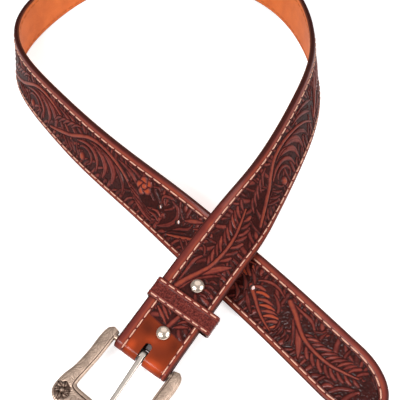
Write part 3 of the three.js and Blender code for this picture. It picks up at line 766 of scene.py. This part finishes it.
def stitch_piece(name, place_at, lines, material, radius=STITCH_RADIUS, length=STITCH_LENGTH,
                 gap=STITCH_GAP, sink=0.4):
    """Capsules of thread along lines. place_at turns flat places and levels into points."""
    sides, parts = 6, 8
    angle = ring_angles(sides)
    t = np.linspace(-1, 1, parts)
    taper = np.sqrt(np.clip(1 - np.abs(t) ** 5, 0.05, 1))
    dip = sink * np.abs(t) ** 6
    vertices, faces, twist = [], [], []
    for line in lines:
        steps = distances_along(line)
        number = int(steps[-1] / length)
        pitch = steps[-1] / number
        for k in range(number):
            at = (k + 0.5) * pitch + t * (pitch - gap) / 2
            x = np.interp(at, steps, line[:, 0])
            y = np.interp(at, steps, line[:, 1])
            forward = unit(np.stack([np.gradient(x), np.gradient(y)], 1))
            faces += ring_faces(parts, sides, base=len(vertices))
            for i in range(parts):
                r = radius * taper[i]
                for a in angle:
                    vertices.append((x[i] - forward[i, 1] * r * math.cos(a),
                                     y[i] + forward[i, 0] * r * math.cos(a),
                                     r * math.sin(a) - dip[i]))
                    twist.append(at[i])
    make_piece(name, place_at(*np.array(vertices).T), faces, "strap", (), material,
               {"run": twist})


def strap_stitches(face_thread, lining_thread):
    def on_face(s, v, n):
        return beside(s, v, FACE + 0.06 + n)

    def on_lining(s, v, n):
        under = np.where(s < TURN_BACK + 1, TURN_BACK_FACE, -FACE)
        return beside(s, v, under + 0.05 - n)

    line = stitch_line()
    stitch_piece("stitches_face", on_face, [line], face_thread, sink=0.5)
    line = line[line[:, 0] > LINING_START + 3]
    stitch_piece("stitches_lining", on_lining, [line], lining_thread, STITCH_RADIUS * 0.9)


# Keeper sizes
KEEPER_CENTRE = 43.3
KEEPER_HALF = 6.75
KEEPER_THICKNESS = 1.6
KEEPER_FIT = 0.35
KEEPER_SLACK = 4.6
KEEPER_CORNER = 0.6
KEEPER_LINE = 1.65
KEEPER_BORDER = 3.1


def keeper_loop():
    """The keeper's way round the strap: across, level and the direction that it faces."""
    r = KEEPER_CORNER
    right, left = HALF_WIDTH + KEEPER_FIT - r, -HALF_WIDTH - KEEPER_SLACK + r
    top, bottom = FACE + KEEPER_FIT - r, TURN_BACK_FACE - KEEPER_FIT + r
    quarter = math.pi / 2
    corners = [(right, top), (left, top), (left, bottom), (right, bottom)]
    sizes = [right - left, top - bottom, right - left, top - bottom]
    steps = [0.3, 0.8, 2.0, 0.8]
    loop = []
    for i, corner in enumerate(corners):
        loop += [(*corner, quarter * (i + t)) for t in np.linspace(0, 1, 7)]
        after = corners[(i + 1) % 4]
        count = int(sizes[i] / steps[i])
        for t in np.linspace(0, 1, count + 1)[1:-1]:
            loop.append((corner[0] + (after[0] - corner[0]) * t,
                         corner[1] + (after[1] - corner[1]) * t, quarter * (i + 1)))
    return np.array(loop)


def keeper_piece(band_material, thread_material):
    """The keeper with its stamped middle, smooth borders and two rows of stitches."""
    loop = keeper_loop()
    rim = np.array([0, 0.1, 0.32, 0.65, 1.05])
    far_rim = 2 * KEEPER_HALF - rim[::-1]
    a = np.concatenate([rim, np.arange(1.4, 12.2, 0.3), far_rim]) - KEEPER_HALF
    d = KEEPER_HALF - np.abs(a)
    grid_a, grid_s = np.meshgrid(a, np.arange(len(loop)) * 0.3)
    middle = smooth(d, KEEPER_BORDER, KEEPER_BORDER + 0.3)
    grain = speckle(grid_s, grid_a, 0.5, 21)
    line = bell(d - KEEPER_LINE, 0.5)
    level = KEEPER_THICKNESS - edge_rounding(d) * 0.8 - 0.28 * middle * (1 + 0.6 * grain)
    level = level - 0.25 * line
    tone = 0.86 + 0.08 * speckle(grid_s, grid_a, 3.0, 23)
    tone = tone * (1 - middle) + (0.48 + 0.36 * grain) * middle
    tone = tone - 0.45 * line - 0.4 * bell(d - KEEPER_BORDER, 0.3)
    inner_a = np.array([KEEPER_HALF + 0.05, KEEPER_HALF, 0, -KEEPER_HALF, -KEEPER_HALF - 0.05])
    inner_h = np.array([0.5, 0.05, 0, 0.05, 0.5])
    all_a = np.concatenate([a, inner_a])
    rows = len(loop)
    heights = np.concatenate([level, np.tile(inner_h, (rows, 1))], 1) + KEEPER_CORNER
    across = loop[:, 0:1] + np.cos(loop[:, 2:3]) * heights
    out = loop[:, 1:2] + np.sin(loop[:, 2:3]) * heights
    vertices = flat_point(KEEPER_CENTRE + np.tile(all_a, (rows, 1)), across, out).reshape(-1, 3)
    pad = np.ones((rows, len(inner_a)))
    edge = np.tile(1 - smooth(d, 0.2, 1.0), (rows, 1))
    values = {"tone": np.concatenate([np.clip(tone, 0, 1), pad * 0.2], 1).ravel(),
              "edge": np.concatenate([edge, pad], 1).ravel(),
              "plain": np.zeros(rows * len(all_a))}
    make_piece("keeper_band", vertices, ring_faces(rows, len(all_a), closed_rows=True), "strap",
               ["keeper"], band_material, values, 50)

    def on_keeper(along, across, n):
        return flat_point(along, across, FACE + KEEPER_FIT + KEEPER_THICKNESS - 0.2 + n)

    lines = [np.array([(KEEPER_CENTRE + side * 5.1, v) for v in np.linspace(19.6, -23.8, 60)])
             for side in (-1, 1)]
    stitch_piece("stitches_keeper", on_keeper, lines, thread_material, length=6.1, gap=1.0)


# Studs
STUD_RADIUS = 4.5
STUD_DOME = 2.3
STUD_RIM = 0.5
STUD_FIT = 0.3
STUD_OFFSET = -2.0
STUD_POST = 1.75
STUD_PLACES = [22.8, 58.2]


def revolve(profile, sides):
    """A closed surface of revolution about its level axis, from rows of radius and level."""
    angle = ring_angles(sides)
    rows = [np.stack([r * np.cos(angle), r * np.sin(angle), np.full(sides, z)], 1)
            for r, z in profile]
    return np.concatenate(rows), turned(ring_faces(len(profile), sides))


def stud_pieces(material):
    """The studs: the back disc, the post through the strap and the domed cap, in one turn."""
    cap = FACE + STUD_FIT
    back = TURN_BACK_FACE - STUD_FIT
    profile = [(0.02, back - 1.0), (3.4, back - 1.0), (3.75, back - 0.8), (3.82, back - 0.4),
               (3.7, back), (STUD_POST, back), (STUD_POST, cap), (4.1, cap), (4.42, cap + 0.12)]
    for a in np.radians(np.linspace(0, 89.6, 22)):
        profile.append((STUD_RADIUS * math.cos(a), cap + STUD_RIM + STUD_DOME * math.sin(a)))
    points, faces = revolve(profile, 56)
    for i, place in enumerate(STUD_PLACES):
        vertices = flat_point(place + points[:, 0], STUD_OFFSET + points[:, 1], points[:, 2])
        make_piece(f"stud_dome_{i + 1}", vertices, faces, "strap", [f"stud_{i + 1}"],
                   material, None, 48)


# Buckle frame, in its own axes: X from the bar to the front, Y across, Z up
BUCKLE_TILT = 11.015
BUCKLE_REACH = 54.0
BUCKLE_HALF_WIDTH = 32.0
WINDOW_REACH = 38.5
WINDOW_HALF_WIDTH = 20.0
FRAME_BELOW = 1.6
FRAME_EDGE = 1.1
FRAME_CROWN = 1.6
BAR_RADIUS = 2.0
FLOWER_FRONT = 0.82 * BUCKLE_REACH
FLOWER_SIDE = 0.78 * BUCKLE_HALF_WIDTH
FLOWER_LEVEL = FRAME_EDGE + FRAME_CROWN * 0.62
SCROLL_LENGTH = 11.5
BEAD_PITCH = 1.15
# Half of the frame's outline, from the end of its arm to the middle of its front: the outer
# edge's place forward and sideways, the inner edge's, and the crown
FRAME_ROWS = [
    (-0.085, 0.77, -0.09, 1.01, 0.6), (-0.03, 0.86, 0, 1, 0.9), (0.1, 0.885, 0.15, 1, 1),
    (0.3, 0.875, 0.42, 1, 1), (0.52, 0.9, 0.72, 1.03, 1), (0.69, 0.965, 0.9, 1.04, 1),
    (0.86, 0.955, 0.96, 1, 1), (0.945, 0.8, 0.98, 0.85, 1), (0.98, 0.48, 0.99, 0.5, 1),
    (1, 0, 1, 0, 1),
]


def buckle_point(x, y, z):
    """World points for places in the buckle's own axes."""
    tilt = math.radians(BUCKLE_TILT)
    front = -math.cos(tilt) * FLAT_ALONG + math.sin(tilt) * FLAT_OUT
    up = math.sin(tilt) * FLAT_ALONG + math.cos(tilt) * FLAT_OUT
    side = np.cross(up, front)
    x, y, z = (np.asarray(a, float)[..., None] for a in np.broadcast_arrays(x, y, z))
    return flat_point(BAR_ALONG, BUCKLE_SHIFT, BAR_LEVEL) + x * front + y * side + z * up


def engraving(run, q):
    """Height and tone of the engraved frame: run along its band, q from inner to outer edge."""
    wave = 2 * math.pi / SCROLL_LENGTH
    stem = 0.5 + 0.17 * np.sin(run * wave)
    off_stem = np.abs(q - stem)
    depth = bell(q - stem, 0.035)
    curl = np.sin(run * wave * 2 + np.where(q > stem, 0.0, math.pi) + 9 * off_stem)
    depth += 0.85 * smooth(np.abs(curl), 0.86, 0.99) * smooth(off_stem, 0.05, 0.1)
    veins = np.sin(run * wave * 7 + np.where(q > stem, 14, -14) * q)
    depth += 0.4 * smooth(veins, 0.55, 0.95) * smooth(off_stem, 0.06, 0.1)
    depth = np.clip(depth, 0, 1) * (smooth(q, 0.2, 0.24) * (1 - smooth(q, 0.82, 0.86)))
    inner_line = bell(q - 0.17, 0.03)
    outer_line = bell(q - 0.88, 0.025)
    beads = bell(q - 0.94, 0.035) * (0.5 + 0.5 * np.sin(run * 2 * math.pi / BEAD_PITCH))
    height = -0.13 * depth - 0.3 * inner_line - 0.14 * outer_line + 0.1 * beads
    tone = 0.8 - 0.28 * depth - 0.8 * inner_line - 0.3 * outer_line
    return height, tone


def buckle_pieces(material):
    """The engraved frame, its heel bar and its corner flowers."""
    rows = np.array(FRAME_ROWS)
    rows = np.concatenate([rows, rows[-2::-1] * np.array([1, -1, 1, -1, 1])])
    steps = 640
    outer = curve(rows[:, 0:2] * [BUCKLE_REACH, BUCKLE_HALF_WIDTH], steps)
    inner = curve(rows[:, 2:4] * [WINDOW_REACH, WINDOW_HALF_WIDTH], steps)
    crown = curve(np.stack([np.arange(len(rows)), rows[:, 4]], 1), steps)[:, 1] * FRAME_CROWN
    q = np.concatenate([[0, 0.012, 0.035, 0.07], np.linspace(0.11, 0.91, 40),
                        [0.94, 0.965, 0.988, 1]])
    run = distances_along((outer + inner) / 2)
    grid_q, grid_run = np.meshgrid(q, run)
    between = (outer - inner)[:, None, :]
    xy = inner[:, None, :] + between * grid_q[..., None]
    # The pattern runs from the middle of the front to both arms
    height, tone = engraving(np.abs(grid_run - run[-1] / 2) + 2.4, grid_q)
    for side in (1, -1):
        away = np.hypot(xy[..., 0] - FLOWER_FRONT, xy[..., 1] - side * FLOWER_SIDE)
        height = height - 0.4 * (1 - smooth(away, 4.4, 6.2))
        tone = tone * (0.2 + 0.8 * smooth(away, 4.2, 6.2))
    dome = np.sqrt(np.clip(1 - (2 * grid_q - 1) ** 2, 0, 1))
    upper = FRAME_EDGE + crown[:, None] * dome + height * smooth(dome, 0.2, 0.5)
    below = -FRAME_BELOW
    under_q = np.array([1.0, 0.995, 0.97, 0.93, 0.5, 0.07, 0.03, 0.005, 0.0])
    under_z = np.array([-0.2, -0.9, -1.35, below, below, below, -1.35, -0.9, -0.2])
    all_xy = np.concatenate([xy, inner[:, None, :] + between * under_q[None, :, None]], 1)
    all_z = np.concatenate([upper, np.tile(under_z, (steps, 1))], 1)
    tones = np.concatenate([tone, np.full((steps, len(under_q)), 0.7)], 1)
    vertices = buckle_point(all_xy[..., 0], all_xy[..., 1], all_z).reshape(-1, 3)
    make_piece("buckle_engraved_frame", vertices, turned(ring_faces(steps, all_z.shape[1])),
               "buckle", ["buckle_frame"], material,
               {"tone": np.clip(tones, 0, 1).ravel()}, 60)

    reach = WINDOW_HALF_WIDTH + (BUCKLE_HALF_WIDTH * 0.8 - WINDOW_HALF_WIDTH) * 0.7
    points, faces = revolve([(BAR_RADIUS, -reach), (BAR_RADIUS, reach)], 32)
    vertices = buckle_point(points[:, 0], points[:, 2], points[:, 1])
    make_piece("buckle_bar", vertices, turned(faces), "buckle", (), material,
               {"tone": np.full(len(points), 0.7)}, 40)
    corner_flowers(material)


def corner_flowers(material):
    """A flower with creased petals on each front corner of the frame."""
    vertices, faces, tones = [], [], []
    around, rings, petals = 20, 10, 6
    for side in (1, -1):
        across = side * FLOWER_SIDE
        knobs = [(FLOWER_FRONT, across, 1.9, 1.9, 1.9, 0.0)]
        for i in range(petals):
            a = 2 * math.pi * i / petals + 0.25 * math.sin(2.4 * i)
            size = 1 + 0.16 * math.sin(1.9 * i + 1)
            x, y = FLOWER_FRONT + 3.3 * size * math.cos(a), across + 3.3 * size * math.sin(a)
            knobs.append((x, y, 2.1 * size, 1.7 * size, 1.55, a + 0.35))
        for x, y, long, wide, high, turn in knobs:
            faces += turned(ring_faces(rings, around, base=len(vertices)))
            for r in range(rings):
                lift = math.pi * (r + 0.5) / rings - math.pi / 2
                for b in ring_angles(around):
                    px = long * math.cos(lift) * math.cos(b)
                    py = wide * math.cos(lift) * math.sin(b)
                    crease = 0.5 * bell(py, 0.34) if long > wide else 0.0
                    pz = high * math.sin(lift) - crease * max(math.sin(lift), 0)
                    vertices.append((x + px * math.cos(turn) - py * math.sin(turn),
                                     y + px * math.sin(turn) + py * math.cos(turn),
                                     FLOWER_LEVEL + pz))
                    rim = (math.hypot(px, py) / long) ** 3
                    tones.append(0.02 + 0.38 * max(math.sin(lift), 0) + 0.2 * rim - 0.9 * crease)
    make_piece("buckle_corner_flowers", buckle_point(*np.array(vertices).T), faces, "buckle",
               (), material, {"tone": np.clip(tones, 0, 1)}, 60)


# Prong
PRONG_WIDTH = 3.4
PRONG_THICKNESS = 2.2
PRONG_REACH = 50.0
PRONG_SKEW = 4.0
LOOP_INSIDE = 2.3
LOOP_WALL = 1.6


def prong_piece(material):
    """The prong: a loop round the bar and a tapered tongue that lies on the frame's front."""
    outside = LOOP_INSIDE + LOOP_WALL
    base = outside - PRONG_THICKNESS / 2
    seat = FRAME_EDGE + FRAME_CROWN + 0.3 + PRONG_THICKNESS / 2
    # Place along the reach, level, and the shares of the width and the thickness
    rows = np.array([
        (-0.01, base, 1, 1), (0.1, base, 1, 1), (0.35, (base + seat) / 2, 0.96, 1),
        (0.68, seat, 0.9, 1), (0.85, seat, 0.84, 0.95), (0.96, seat - 0.4, 0.7, 0.8),
        (1, seat - 0.8, 0.35, 0.5),
    ])
    steps, sides, turns = 60, 24, 48
    a, b = curve(rows[:, :2], steps), curve(rows[:, 2:], steps)
    angle = ring_angles(sides)
    cx, cz = (np.sign(c) * np.abs(c) ** 0.75 for c in (np.cos(angle), np.sin(angle)))
    x = np.repeat(a[:, :1], sides, 1) * PRONG_REACH
    y = b[:, :1] * PRONG_WIDTH / 2 * cx + np.maximum(x, 0) * math.tan(math.radians(PRONG_SKEW))
    z = a[:, 1:] + b[:, 1:] * PRONG_THICKNESS / 2 * cz
    tongue = np.stack([x, y, z], 2).reshape(-1, 3)
    half = PRONG_WIDTH / 2
    section = [(LOOP_INSIDE, -half), (outside - 0.35, -half), (outside - 0.1, -half + 0.1),
               (outside, -half + 0.35), (outside, half - 0.35), (outside - 0.1, half - 0.1),
               (outside - 0.35, half), (LOOP_INSIDE, half)]
    loop = np.array([(r * math.cos(t), y, r * math.sin(t))
                     for t in ring_angles(turns) for r, y in section])
    faces = ring_faces(steps, sides) + ring_faces(turns, len(section), True, len(tongue))
    make_piece("prong_tongue", buckle_point(*np.concatenate([tongue, loop]).T), faces, "tongue",
               ["prong"], material, None, 45)


SOCKETS = {"colour": "Base Color", "roughness": "Roughness", "metallic": "Metallic",
           "normal": "Normal", "coat": "Coat Weight", "coat_roughness": "Coat Roughness",
           "specular": "Specular IOR Level", "glow": "Emission Strength",
           "glow_colour": "Emission Color"}


class Nodes:
    """A small helper that builds a node material step by step."""

    def __init__(self, name):
        self.material = bpy.data.materials.new(name)
        self.material.use_nodes = True
        self.tree = self.material.node_tree
        self.shader = self.tree.nodes["Principled BSDF"]
        self.place = self.add("ShaderNodeTexCoord", {}, "Object")

    def add(self, kind, inputs, output, **settings):
        """Adds a node, fills its inputs and gives one of its outputs."""
        node = self.tree.nodes.new(kind)
        for key, value in settings.items():
            setattr(node, key, value)
        for key, value in inputs.items():
            self.put(node.inputs[key], value)
        return node.outputs[output]

    def put(self, socket, value):
        if isinstance(value, bpy.types.NodeSocket):
            self.tree.links.new(value, socket)
        else:
            socket.default_value = value

    def value(self, name):
        return self.add("ShaderNodeAttribute", {}, "Fac", attribute_name=name)

    def noise(self, size_mm, detail=4.0, rough=0.55):
        return self.add("ShaderNodeTexNoise", {"Vector": self.place, "Scale": 1 / (size_mm * MM),
                                               "Detail": detail, "Roughness": rough}, "Fac")

    def ramp(self, factor, stops):
        colour = self.add("ShaderNodeValToRGB", {"Fac": factor}, "Color")
        elements = colour.node.color_ramp.elements
        while len(elements) < len(stops):
            elements.new(0.5)
        for element, (position, rgb) in zip(elements, stops):
            element.position = position
            element.color = (*rgb, 1)
        return colour

    def maths(self, operation, *values):
        return self.add("ShaderNodeMath", dict(enumerate(values)), 0, operation=operation)

    def times(self, a, b):
        return self.maths("MULTIPLY", a, b)

    def total(self, first, *others):
        for other in others:
            first = self.maths("ADD", first, other)
        return first

    def swing(self, factor, amount):
        """A change of so much, up and down, from a factor that varies round 0.5."""
        return self.times(self.maths("SUBTRACT", factor, 0.5), amount)

    def mix(self, factor, a, b):
        """A mix of colours. The second may be three plain numbers."""
        b = (*b, 1) if isinstance(b, tuple) else b
        return self.add("ShaderNodeMix", {0: factor, 6: a, 7: b}, 2, data_type="RGBA")

    def bump(self, height, strength, distance_mm):
        return self.add("ShaderNodeBump", {"Height": height, "Strength": strength,
                                           "Distance": distance_mm * MM}, "Normal")

    def finish(self, **inputs):
        for key, value in inputs.items():
            value = (*value, 1) if isinstance(value, tuple) else value
            self.put(self.shader.inputs[SOCKETS[key]], value)
        return self.material


def scaled(colour, factor):
    return tuple(factor * c for c in colour)


# Colours of the dyed leather by tone, of its plain places and of its burnished edges
LEATHER_STOPS = [
    (0.0, (0.016, 0.0028, 0.002)), (0.22, (0.048, 0.0065, 0.005)), (0.55, (0.12, 0.0195, 0.015)),
    (0.85, (0.185, 0.034, 0.023)), (1.0, (0.23, 0.043, 0.021)),
]
PLAIN_LEATHER = (0.2, 0.026, 0.006)
BURNISHED = (0.034, 0.007, 0.005)
LINING_EDGE = (0.055, 0.011, 0.007)


def leather(name):
    """Dyed and polished leather: tone drives its colour, painted highlights and painted shade
    included, with plain places and burnished edges.
    """
    n = Nodes(name)
    grain = n.noise(0.55, 5.0, 0.6)
    tone = n.total(n.value("tone"), n.swing(n.noise(9.0, 3.0), 0.22), n.swing(grain, 0.12))
    # The plain places' colour: its darker and brighter ends carry the painted shade and painted
    # highlights by the fold.
    plain = n.ramp(tone, [(0.2, scaled(PLAIN_LEATHER, 0.45)), (0.6, PLAIN_LEATHER),
                          (1.0, scaled(PLAIN_LEATHER, 2.0))])
    colour = n.mix(n.value("plain"), n.ramp(tone, LEATHER_STOPS), plain)
    colour = n.mix(n.times(n.value("edge"), 0.75), colour, BURNISHED)
    rough = n.maths("SUBTRACT", n.total(0.6, n.swing(grain, 0.2)), n.times(n.value("tone"), 0.3))
    return n.finish(colour=colour, roughness=rough, normal=n.bump(grain, 0.3, 0.1), coat=0.13,
                    coat_roughness=0.16, specular=0.05)


def lining_leather():
    n = Nodes("lining_leather")
    grain = n.noise(0.45, 6.0, 0.65)
    colour = n.ramp(n.noise(14.0, 4.0), [(0.3, (0.47, 0.095, 0.014)), (0.7, (0.64, 0.15, 0.026))])
    fine = n.ramp(grain, [(0.3, (0.42, 0.085, 0.012)), (0.7, (0.7, 0.175, 0.034))])
    colour = n.mix(n.times(n.value("edge"), 0.93), n.mix(0.35, colour, fine), LINING_EDGE)
    return n.finish(colour=colour, roughness=0.6, normal=n.bump(grain, 0.4, 0.15), specular=0.2)


def thread(name, dark, light):
    """Waxed thread, with its strands wound along the run of each stitch."""
    n = Nodes(name)
    fuzz = n.noise(0.4, 4.0)
    wound = n.bump(n.total(n.maths("SINE", n.times(n.value("run"), 7.0)), fuzz), 0.5, 0.1)
    return n.finish(colour=n.ramp(fuzz, [(0.25, dark), (0.75, light)]), roughness=0.75,
                    specular=0.2, normal=wound)


def metal(name, colour, dark, roughness, wear):
    """Metal with fine wear, and where a piece carries a tone, dark in its engraved lines."""
    n = Nodes(name)
    scratch = n.noise(0.9, 6.0, 0.7)
    sand = n.total(n.times(n.noise(7.0, 3.0), 0.5), n.times(n.noise(0.5, 3.0), 0.5))
    bright = n.ramp(sand, [(0.35, scaled(colour, 1 - 1.4 * wear)), (0.62, colour)])
    if dark is not None:
        cut = n.ramp(n.value("tone"), [(0.1, (1, 1, 1)), (0.75, (0, 0, 0))])
        bright = n.mix(cut, bright, dark)
    return n.finish(colour=bright, roughness=n.total(roughness, n.swing(scratch, wear)),
                    metallic=1.0, normal=n.bump(scratch, 0.12, 0.05))


stitch_thread = thread("stitch_thread", (0.5, 0.23, 0.15), (0.8, 0.47, 0.35))
lining_thread = thread("lining_thread", (0.34, 0.08, 0.02), (0.56, 0.16, 0.045))
buckle_metal = metal("buckle_antique_silver", (0.63, 0.465, 0.365), (0.06, 0.033, 0.025), 0.45,
                     0.36)

strap_pieces(leather("tooled_leather"))
lining_piece(lining_leather())
strap_stitches(stitch_thread, lining_thread)
keeper_piece(leather("keeper_leather"), stitch_thread)
stud_pieces(metal("stud_nickel", (0.85, 0.69, 0.57), None, 0.22, 0.1))
buckle_pieces(buckle_metal)
prong_piece(metal("prong_silver", (0.6, 0.53, 0.47), None, 0.36, 0.15))


# The floor, the lights (name, place, energy, width) and the camera that was fitted to the
# photo, in metres and degrees. The camera's sensor and lens are in millimetres, and its shift
# in pixels of the photo.
FLOOR_SIZE = 8.0
BELT_MIDDLE = (0, -0.03, 0)
LIGHTS = [("key", (-0.4, -0.55, 0.65), 7.0, 0.35), ("fill", (0.65, -0.45, 0.6), 4.5, 0.6),
          ("top", (0.1, 0.3, 1.3), 3.0, 1.3)]
PHOTO_PIXELS = 400
CAMERA_ELEVATION = 51.80
CAMERA_DISTANCE = 0.5367
CAMERA_LOOK_AT = (0.02075, -0.0403, 0)
CAMERA_SENSOR = 36.0
CAMERA_LENS = 67.365
CAMERA_SHIFT = (0.87, 0.31)


def stage():
    """A pale floor, a white surrounding and three soft lights."""
    a = FLOOR_SIZE
    mesh = bpy.data.meshes.new("floor")
    mesh.from_pydata([(-a, -a, 0), (a, -a, 0), (a, a, 0), (-a, a, 0)], [], [(0, 1, 2, 3)])
    white = Nodes("floor_white").finish(colour=(0.75, 0.75, 0.75), roughness=0.9, glow=0.6,
                                        glow_colour=(1, 1, 1))
    mesh.materials.append(white)
    floor = linked("floor", mesh)
    scene = bpy.context.scene
    scene.world = bpy.data.worlds.new("studio")
    scene.world.use_nodes = True
    background = scene.world.node_tree.nodes["Background"]
    background.inputs["Color"].default_value = (1, 1, 1, 1)
    background.inputs["Strength"].default_value = 0.35
    scene.view_settings.view_transform = "Standard"
    for name, place, energy, width in LIGHTS:
        light = bpy.data.lights.new(name, "AREA")
        light.shape = "DISK"
        light.energy = energy
        light.size = width
        lamp = linked(name, light)
        lamp.location = place
        aim = Vector(BELT_MIDDLE) - Vector(place)
        lamp.rotation_euler = aim.to_track_quat("-Z", "Y").to_euler()


def photo_camera():
    """The camera from which the belt looks as it does in the photo."""
    elevation = math.radians(CAMERA_ELEVATION)
    back = Vector((0, -math.cos(elevation), math.sin(elevation)))
    data = bpy.data.cameras.new("photo_camera")
    data.sensor_width = CAMERA_SENSOR
    data.lens = CAMERA_LENS
    data.shift_x, data.shift_y = (pixels / PHOTO_PIXELS for pixels in CAMERA_SHIFT)
    data.clip_start = 0.01
    camera = linked("photo_camera", data)
    camera.location = Vector(CAMERA_LOOK_AT) + back * CAMERA_DISTANCE
    camera.rotation_euler = back.to_track_quat("Z", "Y").to_euler()
    bpy.context.scene.camera = camera


stage()
photo_camera()
